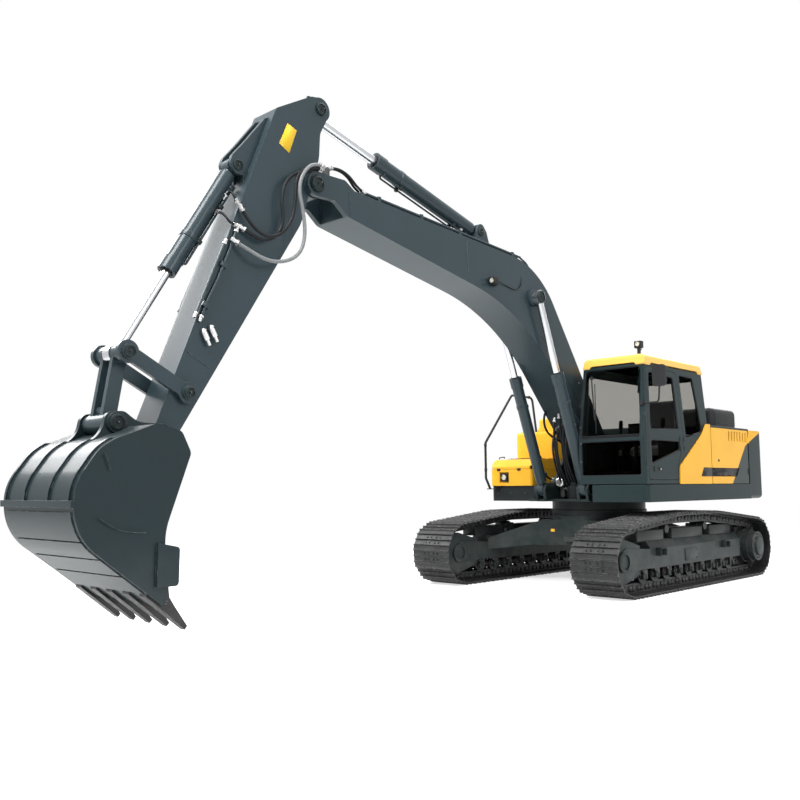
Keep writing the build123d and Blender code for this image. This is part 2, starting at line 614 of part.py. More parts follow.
def open_box(x_from, x_to, y_from, y_to, z_from, z_to, radius, sheet=SHEET):
    """Cover or tank: a rounded box with sheet walls, open below."""
    inside = rounded_box(x_from + sheet, x_to - sheet, y_from + sheet, y_to - sheet, z_from - 1,
                         z_to - sheet, radius - sheet)
    return rounded_box(x_from, x_to, y_from, y_to, z_from, z_to, radius) - inside


TANK_OUTER = 15 - HOUSE_HALF
FUEL_TANK = (-440, 80, TANK_OUTER, -640, DECK_TOP, 2050, 70)
FUEL_STEP = (-430, 20, -960, -645, 2050 - SHEET, 2240, 60)
FILLER = (-120, -790, 42)             # place and radius of the fuel filler
HYDRAULIC_TANK = (-1110, -460, TANK_OUTER, -640, DECK_TOP, 2150, 60)
ENGINE = (-1880, -1330, -480, 430, 1190, 1760)
VALVE_COVER = (-1150, -330, -625, 400, 1440, 1960, 40)
TOOLBOX = (90, 690, TANK_OUTER, -610)
TOOLBOX_TOP, LID_TOP = 1500, 1650
CAB_SIDE_COVER = [(285, 1275, 0), (270, 1500, 60), (160, 1570, 120), (-380, 1915, 400), (-520, 2065, 60),
                  (-640, 2065, 0), (-640, 1275, 0)]
DOOR_HINGE = (142, HOUSE_HALF + 4)    # upright hinge line of the cab door
HOOD_HINGE = (-1160, HOOD_TOP + 8)    # hinge line of the engine hood
LID_HINGE = (TOOLBOX[0] + 10, LID_TOP + 8)   # hinge line of the toolbox lid
KNUCKLE = 9                           # radius of the small hinges
# recess along the left side, and the louvres of the side doors
SLOT_FRONT, SLOT_REAR, SLOT_DEPTH = -310, -1480, 10
LOUVRE_COUNT, LOUVRE_PITCH = 7, 94
# front and rear end of each side door
LEFT_DOOR = (-690, -1895)
RIGHT_DOOR = (-1160, -1895)


def toolbox():
    """Open box ahead of the fuel tank with the recess of the head lamp."""
    x0, x1, y0, y1 = TOOLBOX
    body = block(x0, x1, y0, y1, DECK_TOP, TOOLBOX_TOP)
    body = fillet(body.edges().filter_by(Axis.Z), 40)
    body -= block(x0 + SHEET, x1 - 60, y0 + SHEET, y1 - SHEET, DECK_TOP + SHEET, TOOLBOX_TOP + 1)
    return body - block(x1 - 40, x1 + 1, -1165, -1005, 1315, 1460)


def toolbox_lid():
    x0, x1, y0, y1 = TOOLBOX
    side = [(x0, TOOLBOX_TOP + 3, 0), (x1, TOOLBOX_TOP + 3, 0), (x1, TOOLBOX_TOP + 40, 30),
            (x1 - 130, LID_TOP - 8, 90), (x0 + 40, LID_TOP, 30), (x0, LID_TOP - 40, 20)]
    form = xz(side, y0, y1)
    room = xz(offset_rows(side, -SHEET), y0 + SHEET, y1 - SHEET)
    below = block(x0 + SHEET, x1 - SHEET, y0 + SHEET, y1 - SHEET, TOOLBOX_TOP, TOOLBOX_TOP + 20)
    corners = xy([(x0, y0, 0), (x1, y0, 60), (x1, y1, 60), (x0, y1, 0)], TOOLBOX_TOP, LID_TOP + 1)
    lid = (form - room - below) & corners
    hx, hz = LID_HINGE
    for y in (y0 + 90, y1 - 150):
        lid += pin(LID_HINGE, KNUCKLE, y, y + 60) + block(hx, hx + 55, y, y + 60, hz - 10, hz + 2)
    return lid


def fuel_tank():
    """Tank with its raised inner part and the neck of the filler."""
    x, y, radius = FILLER
    top = FUEL_STEP[5]
    neck = upright(x, y, radius, top - SHEET, top + 30) - upright(x, y, radius - 8, top - 30, top + 31)
    step = open_box(*FUEL_STEP) - upright(x, y, radius - 8, top - 30, top + 31)
    return joined([open_box(*FUEL_TANK), step, neck])


def valve_cover():
    """Cover between the cab and the tanks, standing on the two webs by its feet."""
    feet = []
    for x in (-1090, -450):
        rise = 1420 if x > -500 else 1192
        feet += both_sides(block(x - 30, x + 30, WEB_INNER, WEB_OUTER, rise, VALVE_COVER[5] - 3))
    web = [(-200, 1500, 0), (-260, 1420, 300), (-1100, 1190, 300), (HOUSE_REAR, 1190, 0),
           (HOUSE_REAR, 1000, 0), (-200, 1000, 0)]
    return joined([open_box(*VALVE_COVER)] + feet) - xz(web, -300, 300)


def left_cover():
    """Roof, front wall and inner wall of the compartment behind the cab."""
    x0, x1 = HOUSE_REAR, -640
    roof = block(x0, x1, 560, HOUSE_HALF - 5, HOOD_TOP - 25, HOOD_TOP)
    top_edge = roof.edges().filter_by(Axis.X).sort_by(lambda e: e.center().Y + e.center().Z)[-1]
    front = block(x1 - 12, x1, 560, HOUSE_HALF - 40, DECK_TOP, HOOD_TOP - 25)
    inner = block(x0, x1, 560, 566, DECK_TOP, HOOD_TOP - 25)
    return joined([fillet(top_edge, 20), front, inner])


def right_cover():
    """Roof and front wall of the pump compartment behind the hydraulic tank."""
    x0, x1 = HOUSE_REAR, -1130
    roof = block(x0, x1, -HOUSE_HALF + 5, -840, HOOD_TOP - 25, HOOD_TOP)
    front = block(x1 - 12, x1, -HOUSE_HALF + 40, -640, DECK_TOP, HOOD_TOP - 25)
    return roof + front


def side_door(front, rear):
    """Flat door with rounded corners, louvres near its rear top and two knuckles on its rear edge."""
    rows = [(rear, DECK_TOP + PANEL_GAP, 20), (front, DECK_TOP + PANEL_GAP, 20),
            (front, HOOD_TOP - 25 - PANEL_GAP, 20), (rear, HOOD_TOP - 25 - PANEL_GAP, 20)]
    door = xz(rows, HOUSE_HALF - 28, HOUSE_HALF - 5)
    knuckles = [upright(rear - 10, HOUSE_HALF + 2, 9, z, z + 90) for z in (1400, 1850)]
    tabs = [block(rear - 10, rear + 30, HOUSE_HALF - 6, HOUSE_HALF - 2, z, z + 90) for z in (1400, 1850)]
    for i in range(LOUVRE_COUNT):
        x = rear + 60 + LOUVRE_PITCH * i
        door -= xz([(x, 1865, 10), (x + 34, 1865, 10), (x + 24, 2000, 10), (x - 10, 2000, 10)],
                   HOUSE_HALF - 30, HOUSE_HALF)
    return joined([door] + knuckles + tabs)


def belt_slot():
    """Long shallow recess along the left side, slanted at its front end."""
    return xz([(SLOT_FRONT, 1372, 10), (SLOT_FRONT - 90, 1490, 10), (SLOT_REAR - 100, 1490, 10),
               (SLOT_REAR, 1372, 10)], HOUSE_HALF - 5 - SLOT_DEPTH, HOUSE_HALF + 20)


def engine_hood():
    """Lid over the engine with a raised middle, hollow from below."""
    x0, x1 = HOUSE_REAR + 5, -1160
    lid = block(x0, x1, -835, 555, HOOD_TOP - 25, HOOD_TOP)
    rise = rounded_box(x0 + 60, x1 - 60, -780, 480, HOOD_TOP - 10, HOOD_TOP + 70, 60)
    room = rounded_box(x0 + 70, x1 - 70, -770, 470, HOOD_TOP - 40, HOOD_TOP + 60, 50)
    knuckles = [pin(HOOD_HINGE, KNUCKLE, y, y + 80) for y in (-600, 240)]
    return joined([lid + rise - room] + knuckles)


def intake_hood():
    """Screened air intake on the roof of the left compartment."""
    return open_box(-1820, -1000, 720, 1230, HOOD_TOP, 2320, 110)


def exhaust_pipe():
    """Tail pipe on the right cover, cut slanting at its top."""
    tube = upright(-1560, -1080, 62, HOOD_TOP, 2420) - upright(-1560, -1080, 56, HOOD_TOP + 20, 2421)
    collar = upright(-1560, -1080, 85, HOOD_TOP, HOOD_TOP + 18) - upright(-1560, -1080, 56, 2000, 2421)
    return tube + collar


def tube_run(points, radius, bend):
    """Bent round bar through the points."""
    path = FilletPolyline(*points, radius=bend)
    start = Plane(origin=path @ 0, z_dir=path % 0)
    return sweep(start * Circle(radius), path=path)


def handrails():
    """Rail from the deck over the toolbox and back along the tank."""
    y = -HOUSE_HALF + 12
    rail = tube_run([(750, y + 40, 1228), (795, y, 1380), (795, y, 1880), (140, y, 2610),
                     (-380, y, 2610), (-380, y + 70, 2040)], 17, 70)
    foot = block(RIGHT_DECK_FRONT, 780, y, -1180, 1222, 1234)
    return rail + foot - block(FUEL_TANK[0], FUEL_TANK[1], -HOUSE_HALF, -640, 2000, FUEL_TANK[5])


def work_lamps(cap):
    """Head lamp in the toolbox and lamp on its bracket on the cab roof."""
    head = block(TOOLBOX[1] - 40, TOOLBOX[1] - 6, -1150, -1020, 1330, 1445)
    bracket = block(815, 850, 1120, 1150, ROOF_TOP - 38, ROOF_TOP + 75) - cap
    lamp = block(800, 868, 1090, 1180, ROOF_TOP + 70, ROOF_TOP + 155)
    return [head, lamp + bracket.solids().sort_by(Axis.Z)[-1]]


def mirror_left():
    """Rear mirror on its arm at the front pillar of the cab."""
    y = CAB_OUTER + 150
    plate = block(1002, 1030, y - 85, y + 85, 2440, 2700)
    plate = fillet(plate.edges().filter_by(Axis.X), 40)
    stay = tube_run([(1052, y - 223, 2250), (1052, y, 2250), (1018, y, 2450)], 11, 40)
    foot = block(1020, 1070, y - 245, y - 195, 2225, 2275)
    return joined([plate, stay, foot]) - cab_block(0)


def seat_parts():
    """Operator's seat, side consoles and levers."""
    mid = (CAB_INNER + CAB_OUTER) / 2
    floor = CAB_FLOOR + CAB_WALL
    base = block(-180, 260, mid - 200, mid + 200, floor, floor + 330)
    cushion = rounded_box(-190, 290, mid - 230, mid + 230, floor + 330 + SEAT, floor + 450, 50)
    back = xz([(-200, floor + 450 + SEAT, 30), (-70, floor + 450 + SEAT, 40), (-170, floor + 1080, 60),
               (-290, floor + 1080, 40)], mid - 230, mid + 230)
    consoles = []
    for side in (-1, 1):
        low, high = sorted((mid + side * 245, mid + side * 350))
        box = rounded_box(-100, 420, low, high, floor, floor + 520, 30)
        consoles.append(box + upright(350, mid + side * 297, 14, floor + 515, floor + 700))
    pedals = [block(640, 760, mid - 130, mid - 30, floor, floor + 60), block(640, 760, mid + 30, mid + 130,
                                                                              floor, floor + 60)]
    return {"seat_base": base, "seat_cushion": cushion, "seat_back": back, "control_consoles": consoles,
            "travel_pedals": pedals}


def boom_pipes(carrier):
    """Steel pipes along the top of the boom, two on each side of the cylinder, on their clamps."""
    runs = []
    for y in (-185, -140, 140, 185):
        runs.append(tube_run([(1980, y, 4075), (2400, y, 4102), (4650, y, 4240)], 14, 200))
    for x in (2150, 3150, 3800, 4450):
        base = 4034 + (x - 2050) * 0.0613
        runs += both_sides(block(x - 20, x + 20, 120, 205, base - 6, base + 66))
    return joined(runs) - carrier


# ================================================================ working gear
def boom():
    """Bent box beam with its foot tube, nose fork and cylinder lugs."""
    rows = [(85, 1830, 0), (1650, 4010, 1150), (4830, 4205, 60), (4960, 4285, 60), (5326, 4275, 0),
            (5326, 4040, 0), (5090, 4050, 80), (4930, 3925, 120), (2004, 3385, 2900), (330, 1610, 0)]
    inner = [(230, 1850, 0), (1660, 3985, 1120), (4790, 4190, 60), (4880, 4180, 0), (4880, 3930, 0),
             (2010, 3410, 2900), (370, 1740, 0)]
    beam = xz(rows, -BOOM_HALF, BOOM_HALF) - xz(inner, -BOOM_HALF + PLATE, BOOM_HALF - PLATE)
    fork_gap = ARM_HALF + SIDE_PLAY
    fork = [(4930, 3850, 0), (5600, 3850, 0), (5600, 4400, 0), (4930, 4400, 0)]
    beam += pin(ARM_PIN, 118, -BOOM_HALF, BOOM_HALF)
    beam -= xz(fork, -fork_gap, fork_gap)
    foot_end = WEB_INNER - SIDE_PLAY
    foot = pin(FOOT_PIN, 150, -foot_end, foot_end)
    base = CYLINDERS["boom"]
    boss_end = base["places"][1] - base["half"] - SIDE_PLAY
    rod_boss = pin(BOOM_ROD_PIN, 105, -boss_end, boss_end)
    lug_in = CYLINDERS["arm"]["half"] + SIDE_PLAY
    lug_rows = [(2440, 4040, 0), (2790, 4070, 0), (2725, 4290, 60), (2670, 4372, 60), (2600, 4372, 60),
                (2530, 4290, 60)]
    lugs = both_sides(xz(lug_rows, lug_in, lug_in + 35))
    solid = joined([beam, foot, rod_boss] + lugs)
    holes = ((FOOT_PIN, FOOT_PIN_RADIUS), (ARM_PIN, ARM_PIN_RADIUS), (ARM_BASE_PIN, PIN_RADIUS))
    for place, radius in holes:
        solid -= pin(place, radius + PIN_PLAY, -BOOM_HALF - 20, BOOM_HALF + 20)
    return solid


def boom_pins():
    """Pivot pin of the arm with its caps and the base pin of the arm cylinder."""
    arm_pin = pin(ARM_PIN, ARM_PIN_RADIUS, -BOOM_HALF, BOOM_HALF)
    caps = [pin(ARM_PIN, 85, BOOM_HALF, BOOM_HALF + 14), pin(ARM_PIN, 85, -BOOM_HALF - 14, -BOOM_HALF)]
    end = CYLINDERS["arm"]["half"] + SIDE_PLAY + 35
    return [joined([arm_pin] + caps), pin(ARM_BASE_PIN, PIN_RADIUS, -end, end)]


def arm():
    """Tapered box beam with the cylinder head, its ears and the nose for the bucket."""
    rows = [(5112, 4925, 0), (5236, 4700, 150), (5250, 4440, 400), (5478, 3738, 400), (6765, 1715, 0),
            (6975, 1780, 0), (5775, 4790, 60), (5350, 5040, 100), (5230, 5060, 0)]
    inner = [(5262, 4440, 380), (5492, 3742, 400), (6740, 1790, 0), (6930, 1850, 0), (5790, 4660, 60),
             (5300, 4780, 40)]
    beam = xz(rows, -ARM_HALF, ARM_HALF) - xz(inner, -ARM_HALF + PLATE, ARM_HALF - PLATE)
    beam += pin(ARM_ROD_PIN, 118, -ARM_HALF, ARM_HALF)
    slot_half = CYLINDERS["arm"]["half"] + SIDE_PLAY
    slot = [(4950, 4822, 0), (5400, 4822, 0), (5590, 5010, 0), (5590, 5300, 0), (4950, 5300, 0)]
    beam -= xz(slot, -slot_half, slot_half)
    bosses = [pin(ARM_PIN, 130, -ARM_HALF, ARM_HALF), pin(BUCKET_PIN, 118, -ARM_HALF, ARM_HALF),
              pin(GUIDE_PIN, 80, -ARM_HALF, ARM_HALF)]
    qx, qz = BUCKET_BASE_PIN
    ear_rows = [(5745, 4740, 0), (5850, 4690, 60), (6075, 4400, 300), (qx + 60, qz + 80, 50),
                (qx + 82, qz + 10, 60), (qx + 30, qz - 82, 50), (qx - 60, qz - 82, 0), (qx - 70, 3960, 0),
                (qx - 170, 3960, 0)]
    ear_in = CYLINDERS["bucket"]["half"] + SIDE_PLAY
    ears = both_sides(xz(ear_rows, ear_in, ear_in + 40))
    solid = joined([beam] + bosses + ears)
    holes = ((ARM_PIN, ARM_PIN_RADIUS), (ARM_ROD_PIN, PIN_RADIUS), (BUCKET_PIN, PIN_RADIUS),
             (GUIDE_PIN, PIN_RADIUS), (BUCKET_BASE_PIN, PIN_RADIUS))
    for place, radius in holes:
        solid -= pin(place, radius + PIN_PLAY, -ARM_HALF - 20, ARM_HALF + 20)
    return solid


def arm_pins():
    """Base pin of the bucket cylinder and the two ends of the arm cylinder's rod pin."""
    ear_out = CYLINDERS["bucket"]["half"] + SIDE_PLAY + 40
    slot_half = CYLINDERS["arm"]["half"] + SIDE_PLAY
    ends = both_sides(pin(ARM_ROD_PIN, PIN_RADIUS, slot_half, ARM_HALF + 12))
    return [pin(BUCKET_BASE_PIN, PIN_RADIUS, -ear_out, ear_out)] + ends


def barrel(name):
    """Tube of one cylinder with its base eye, gland and bore, one solid at each place."""
    c = CYLINDERS[name]
    length = along(c["base"], c["rod"])[2]
    beyond = length - c["barrel"]
    solids = []
    for y in c["places"]:
        neck = bar(c["base"], c["rod"], y, c["half"] - 1, gap_start=c["eye"] * 0.5, gap_end=beyond + 200)
        tube = bar(c["base"], c["rod"], y, c["outer"], gap_start=c["eye"] + 24, gap_end=beyond + 10)
        gland = bar(c["base"], c["rod"], y, c["outer"] + 9, gap_start=c["barrel"] - 130, gap_end=beyond)
        eye = pin(c["base"], c["eye"], y - c["half"], y + c["half"])
        bore = bar(c["base"], c["rod"], y, c["outer"] - 14, gap_start=c["eye"] + 44, gap_end=beyond + 90)
        throat = bar(c["base"], c["rod"], y, c["shaft"] + PIN_PLAY, gap_start=c["barrel"] - 100,
                     gap_end=beyond - 1)
        hole = pin(c["base"], PIN_RADIUS + PIN_PLAY, y - c["half"] - 1, y + c["half"] + 1)
        solids.append(neck + tube + gland + eye - bore - throat - hole)
    return solids


def rod(name):
    """Chromed rod of one cylinder with its eye; the middle of the rod pin fills the eye."""
    c = CYLINDERS[name]
    length = along(c["rod"], c["base"])[2]
    solids = []
    for y in c["places"]:
        shaft = bar(c["rod"], c["base"], y, c["shaft"], gap_start=c["eye"] * 0.5,
                    gap_end=length - c["reach"])
        head = bar(c["rod"], c["base"], y, c["half"] - 1, gap_start=c["eye"] * 0.5,
                   gap_end=length - c["eye"] - 40)
        solids.append(shaft + head + pin(c["rod"], c["eye"], y - c["half"], y + c["half"]))
    return solids


def guide_links():
    """Pair of side links from the arm to the bucket cylinder pin, tied by the pin through the arm."""
    inner = ARM_HALF + SIDE_PLAY
    links = []
    for side in (-1, 1):
        low, high = sorted((side * inner, side * (inner + 42)))
        links.append(plate_between(GUIDE_PIN, LINK_PIN, 60, low, high))
        links += [pin(place, 92, low, high) for place in (GUIDE_PIN, LINK_PIN)]
        low, high = sorted((side * inner, side * (inner + 62)))
        links += [pin(place, 60, low, high) for place in (GUIDE_PIN, LINK_PIN)]
    return joined(links + [pin(GUIDE_PIN, PIN_RADIUS, -inner - 20, inner + 20)])


def bucket_link():
    """Forked link from the cylinder pin to the bucket ears."""
    dx, dz, _ = along(LINK_PIN, BUCKET_LINK_PIN)
    inner = CYLINDERS["bucket"]["half"] + SIDE_PLAY
    pieces = []
    for side in (-1, 1):
        low, high = sorted((side * inner, side * (inner + 45)))
        pieces.append(plate_between(LINK_PIN, BUCKET_LINK_PIN, 58, low, high))
        low, high = sorted((side * inner, side * ARM_HALF))
        pieces.append(pin(LINK_PIN, 74, low, high))
    web_at = (LINK_PIN[0] + dx * 470, LINK_PIN[1] + dz * 470)
    pieces += [pin(BUCKET_LINK_PIN, 78, -ARM_HALF, ARM_HALF), pin(web_at, 40, -inner - 10, inner + 10)]
    return joined(pieces) - pin(BUCKET_LINK_PIN, PIN_RADIUS + PIN_PLAY, -ARM_HALF - 1, ARM_HALF + 1)


# corners of the bucket's back from its upper front edge round to the floor, with the open front after them
BUCKET_BACK = [(6990, 1705, 60), (7210, 1755, 100), (7640, 1590, 400), (7850, 1290, 380), (7825, 935, 430)]
BUCKET_FRONT = [(7175, 441, 0), (7076, 465, 0), (7130, 930, 500), (6905, 1540, 60)]
BUCKET_WALL = 20


def bucket_layer(thickness, y_from, y_to, low, high):
    """Band laid on the bucket's back between two heights."""
    rows = BUCKET_BACK + BUCKET_FRONT
    layer = xz(offset_rows(rows, thickness), y_from, y_to) - xz(offset_rows(rows, -5), y_from - 1, y_to + 1)
    return layer & block(7190, 8000, y_from, y_to, low, high)


def bucket():
    """Curved bucket with its ears, ribs, wear plates, lip and side cutters."""
    side_half = BUCKET_HALF - 20
    mouth = [(6600, 4, 0), (6600, 948, 0)]
    cavity = offset_rows(BUCKET_BACK + mouth, -BUCKET_WALL)
    shell = xz(BUCKET_BACK + BUCKET_FRONT, -side_half, side_half)
    shell -= xz(cavity, -side_half + BUCKET_WALL, side_half - BUCKET_WALL)
    inner = ARM_HALF + SIDE_PLAY
    bx, bz = BUCKET_PIN
    shell -= pin(BUCKET_PIN, 386, -inner, inner)
    lx, lz = BUCKET_LINK_PIN
    shell -= pin(BUCKET_LINK_PIN, 90, -inner, inner)
    ear_rows = [(bx - 40, bz - 105, 60), (bx - 90, bz + 10, 80), (bx - 5, bz + 104, 80),
                (lx - 190, lz + 10, 200), (lx - 70, lz + 92, 70), (lx + 80, lz + 84, 80),
                (lx + 120, lz - 120, 200), (7600, 1610, 0), (7560, 1560, 0), (7240, 1640, 0), (7010, 1590, 0)]
    ears = []
    for side in (-1, 1):
        low, high = sorted((side * inner, side * (inner + 42)))
        ears.append(xz(ear_rows, low, high) - xz(cavity, low, high))
        low, high = sorted((side * (inner + 40), side * (inner + 70)))
        ears += [pin(BUCKET_PIN, 80, low, high), pin(BUCKET_LINK_PIN, 80, low, high)]
    outer_rib = side_half - 60
    ribs = [bucket_layer(16, y - 13, y + 13, 1180, 1640) for y in (-outer_rib, -196, 196, outer_rib)]
    belt = bucket_layer(24, -side_half - 8, side_half + 8, 1140, 1190)
    plates = [bucket_layer(9, -side_half + 70, side_half - 40, low, high)
              for low, high in ((905, 1110), (775, 895), (645, 765), (505, 635))]
    cutter_rows = [(7199, 545, 0), (7015, 545, 30), (7010, 830, 30), (7195, 870, 30)]
    cutters = both_sides(xz(cutter_rows, side_half, BUCKET_HALF + 8))
    lip = xz([(7300, 537, 0), (7127, 405, 0), (7104, 436, 0), (7150, 490, 0), (7290, 585, 0)],
             -side_half, side_half)
    pins = [pin(place, PIN_RADIUS, -inner - 20, inner + 20) for place in (BUCKET_PIN, BUCKET_LINK_PIN)]
    return joined([shell] + ears + ribs + [belt] + plates + cutters + [lip] + pins)


def bucket_teeth(carrier):
    """Five adapters with their tapered points, notched over the lip."""
    solids = []
    for y in (-500, -250, 0, 250, 500):
        rows = [(7250, 478, 0), (7105, 362, 0), (6908, 203, 0), (6884, 228, 0), (7010, 395, 0),
                (7060, 470, 0), (7195, 560, 0), (7250, 560, 0)]
        plan = [(7260, y - 48, 0), (7260, y + 48, 0), (7080, y + 48, 0), (6870, y + 26, 0),
                (6870, y - 26, 0), (7080, y - 48, 0)]
        tooth = (xz(rows, y - 50, y + 50) & xy(plan, 100, 700)) - carrier
        solids.append(tooth.solids().sort_by(SortBy.VOLUME)[-1])
    return solids


# ================================================================ assembly
def build_parts():
    """All nodes by name, about the slew axis."""
    half_gauge = TRACK_GAUGE / 2
    loop = track()
    beam = track_frame()
    drive = final_drive()
    parts = {
        "carbody": carbody(),
        "slew_ring_lower": slew_ring_lower(),
        "track_left": Pos(0, half_gauge, 0) * loop,
        "track_right": Pos(0, -half_gauge, 0) * loop,
        "track_frame_left": Pos(0, half_gauge, 0) * beam,
        "track_frame_right": mirror(Pos(0, half_gauge, 0) * beam, about=Plane.XZ),
        "front_idlers": at_sides(idler(), half_gauge),
        "drive_sprockets": at_sides(sprocket(), half_gauge),
        "slew_ring_upper": slew_ring_upper(),
        "main_frame": main_frame(),
        "deck_left": deck(LEFT_DECK_FRONT, 1),
        "deck_right": deck(RIGHT_DECK_FRONT, -1),
        "counterweight": counterweight(),
        "boom": boom(),
        "arm": arm(),
        "guide_links": guide_links(),
        "bucket_link": bucket_link(),
        "frame_pins": frame_pins(),
        "boom_pins": boom_pins(),
        "arm_pins": arm_pins(),
        "toolbox": toolbox(),
        "toolbox_lid": toolbox_lid(),
        "fuel_tank": fuel_tank(),
        "hydraulic_tank": open_box(*HYDRAULIC_TANK),
        "engine_block": block(*ENGINE),
        "valve_cover": valve_cover(),
        "left_cover": left_cover(),
        "right_cover": right_cover(),
        "cab_side_cover": xz(CAB_SIDE_COVER, CAB_OUTER, CAB_OUTER + 15) - Pos(0, 14, 0) * belt_slot(),
        "left_side_door": side_door(*LEFT_DOOR) - belt_slot(),
        "right_side_door": mirror(side_door(*RIGHT_DOOR), about=Plane.XZ),
        "engine_hood": engine_hood(),
        "intake_hood": intake_hood(),
        "exhaust_pipe": exhaust_pipe(),
        "handrails": handrails(),
        "mirror_left": mirror_left(),
    }
    parts["boom_pipes"] = boom_pipes(parts["boom"])
    parts["bucket"] = bucket()
    parts["bucket_teeth"] = bucket_teeth(parts["bucket"])
    parts.update(seat_parts())
    rollers = [track_roller(FIRST_ROLLER_X - ROLLER_PITCH * i) for i in range(ROLLER_COUNT)]
    parts["track_rollers_left"] = [Pos(0, half_gauge, 0) * r for r in rollers]
    parts["track_rollers_right"] = [Pos(0, -half_gauge, 0) * r for r in rollers]
    carriers = [Pos(0, half_gauge, 0) * carrier_roller(x) for x in CARRIER_X]
    parts["carrier_rollers"] = carriers + [mirror(piece, about=Plane.XZ) for piece in carriers]
    moved = [Pos(0, half_gauge, 0) * piece for piece in drive]
    parts["final_drives"] = moved + [mirror(piece, about=Plane.XZ) for piece in moved]
    shell, door, panes, door_glass = cab_parts()
    parts["cab_shell"] = shell
    parts["cab_door"] = door
    parts["cab_glass"] = panes + [skylight()]
    parts["door_glass"] = door_glass
    parts["cab_roof"] = cab_roof()
    parts["work_lamps"] = work_lamps(parts["cab_roof"])
    for name in CYLINDERS:
        many = "s" if len(CYLINDERS[name]["places"]) > 1 else ""
        parts[name + "_barrel" + many] = barrel(name)
        parts[name + "_rod" + many] = rod(name)
    return parts


def flat(shape):
    return list(shape) if isinstance(shape, (list, tuple)) else [shape]


def write_parts():
    parts = build_parts()
    boxes = [piece.bounding_box() for shape in parts.values() for piece in flat(shape)]
    shift = -(min(b.min.X for b in boxes) + max(b.max.X for b in boxes)) / 2
    os.makedirs("parts", exist_ok=True)
    for name, shape in parts.items():
        moved = [Pos(shift, 0, 0) * piece for piece in flat(shape)]
        export_step(Compound(children=moved) if len(moved) > 1 else moved[0], "parts/" + name + ".step")
    return shift


SHIFT = write_parts()
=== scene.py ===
"""Looks of the crawler excavator: its finishes, and the hoses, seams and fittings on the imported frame."""
import json
import math

import bmesh
import bpy
from mathutils import Matrix, Vector


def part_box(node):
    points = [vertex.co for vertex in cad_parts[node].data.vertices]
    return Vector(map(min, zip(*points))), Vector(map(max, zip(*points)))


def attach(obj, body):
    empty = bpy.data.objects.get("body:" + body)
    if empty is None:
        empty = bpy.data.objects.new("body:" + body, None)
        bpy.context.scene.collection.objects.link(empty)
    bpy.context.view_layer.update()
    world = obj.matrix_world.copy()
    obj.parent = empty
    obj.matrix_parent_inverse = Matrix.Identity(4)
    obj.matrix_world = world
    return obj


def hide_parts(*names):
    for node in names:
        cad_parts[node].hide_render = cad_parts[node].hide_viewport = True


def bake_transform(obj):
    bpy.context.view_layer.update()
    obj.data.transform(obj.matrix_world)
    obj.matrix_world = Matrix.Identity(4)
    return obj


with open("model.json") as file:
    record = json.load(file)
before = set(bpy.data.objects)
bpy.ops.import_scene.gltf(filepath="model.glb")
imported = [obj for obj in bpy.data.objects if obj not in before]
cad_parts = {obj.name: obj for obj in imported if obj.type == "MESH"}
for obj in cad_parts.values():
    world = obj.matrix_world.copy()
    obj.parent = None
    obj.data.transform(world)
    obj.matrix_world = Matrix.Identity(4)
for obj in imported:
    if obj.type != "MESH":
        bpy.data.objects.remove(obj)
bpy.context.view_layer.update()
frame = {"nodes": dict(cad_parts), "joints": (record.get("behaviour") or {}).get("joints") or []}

NODES = frame["nodes"]
SLEW_X = next(joint["pos_m"][0] for joint in frame["joints"] if joint["name"] == "slew")


def place(x, y, z):
    """A point from millimetres about the slew axis, where the machine was laid out."""
    return Vector((x / 1000 + SLEW_X, y / 1000, z / 1000))


# ============================================================ camera, floor and light
CAMERA_AT = (10.691, 6.383, 1.265)       # metres about the slew axis
CAMERA_YAW, CAMERA_PITCH, CAMERA_ROLL = 223.47, 5.68, -0.48
CAMERA_LENS = 39.4


def add_camera():
    """Camera that looks back at the machine from ahead of its left track."""
    data = bpy.data.cameras.new("studio_camera")
    camera = bpy.data.objects.new("studio_camera", data)
    bpy.context.scene.collection.objects.link(camera)
    yaw, pitch, roll = (math.radians(a) for a in (CAMERA_YAW, CAMERA_PITCH, CAMERA_ROLL))
    forward = Vector((math.cos(yaw) * math.cos(pitch), math.sin(yaw) * math.cos(pitch), math.sin(pitch)))
    level = forward.to_track_quat("-Z", "Y").to_matrix()
    turned = level @ Matrix.Rotation(roll, 3, "Z")
    camera.matrix_world = Matrix.Translation(
        Vector(CAMERA_AT) + Vector((SLEW_X, 0, 0))) @ turned.to_4x4()
    data.lens = CAMERA_LENS
    data.sensor_width = 36
    data.clip_end = 400
    bpy.context.scene.camera = camera


# name, place and aim in metres about the slew axis, diameter in metres, watts
LIGHTS = (
    ("key", (12, 1, 12), (2, 0, 2), 6, 2000),
    ("side_fill", (3, 13, 7), (0, 0, 1.5), 7, 600),
    ("top", (0, 0, 13), (0, 0, 0), 9, 700),
    ("far_side", (6.5, -12, 9), (6.5, 0, 2.2), 8, 1600),
    ("rear", (-11, -4, 8), (-1, 0, 1.5), 7, 600),
)
FLOOR_SIZE = 240
FLOOR_COLOUR = (0.60, 0.60, 0.59, 1)
FLOOR_GLOW = 0.62                        # what the camera sees of the floor besides its light and shadow
WHITE_FROM, WHITE_AT = 6.0, 13.0         # metres from the middle over which the floor turns white
LOW_SKY, HIGH_SKY = 0.14, 1.15           # ambient strength at the horizon and overhead
SKY_COLOUR = (0.93, 0.96, 1.0, 1)
WHITE = (1, 1, 1, 1)


def add_light(name, at, aim, size, watts):
    data = bpy.data.lights.new(name, "AREA")
    data.shape = "DISK"
    data.size = size
    data.energy = watts
    lamp_object = bpy.data.objects.new(name, data)
    bpy.context.scene.collection.objects.link(lamp_object)
    slew_axis = Vector((SLEW_X, 0, 0))
    lamp_object.location = Vector(at) + slew_axis
    lamp_object.rotation_euler = (Vector(aim) - Vector(at)).to_track_quat("-Z", "Y").to_euler()


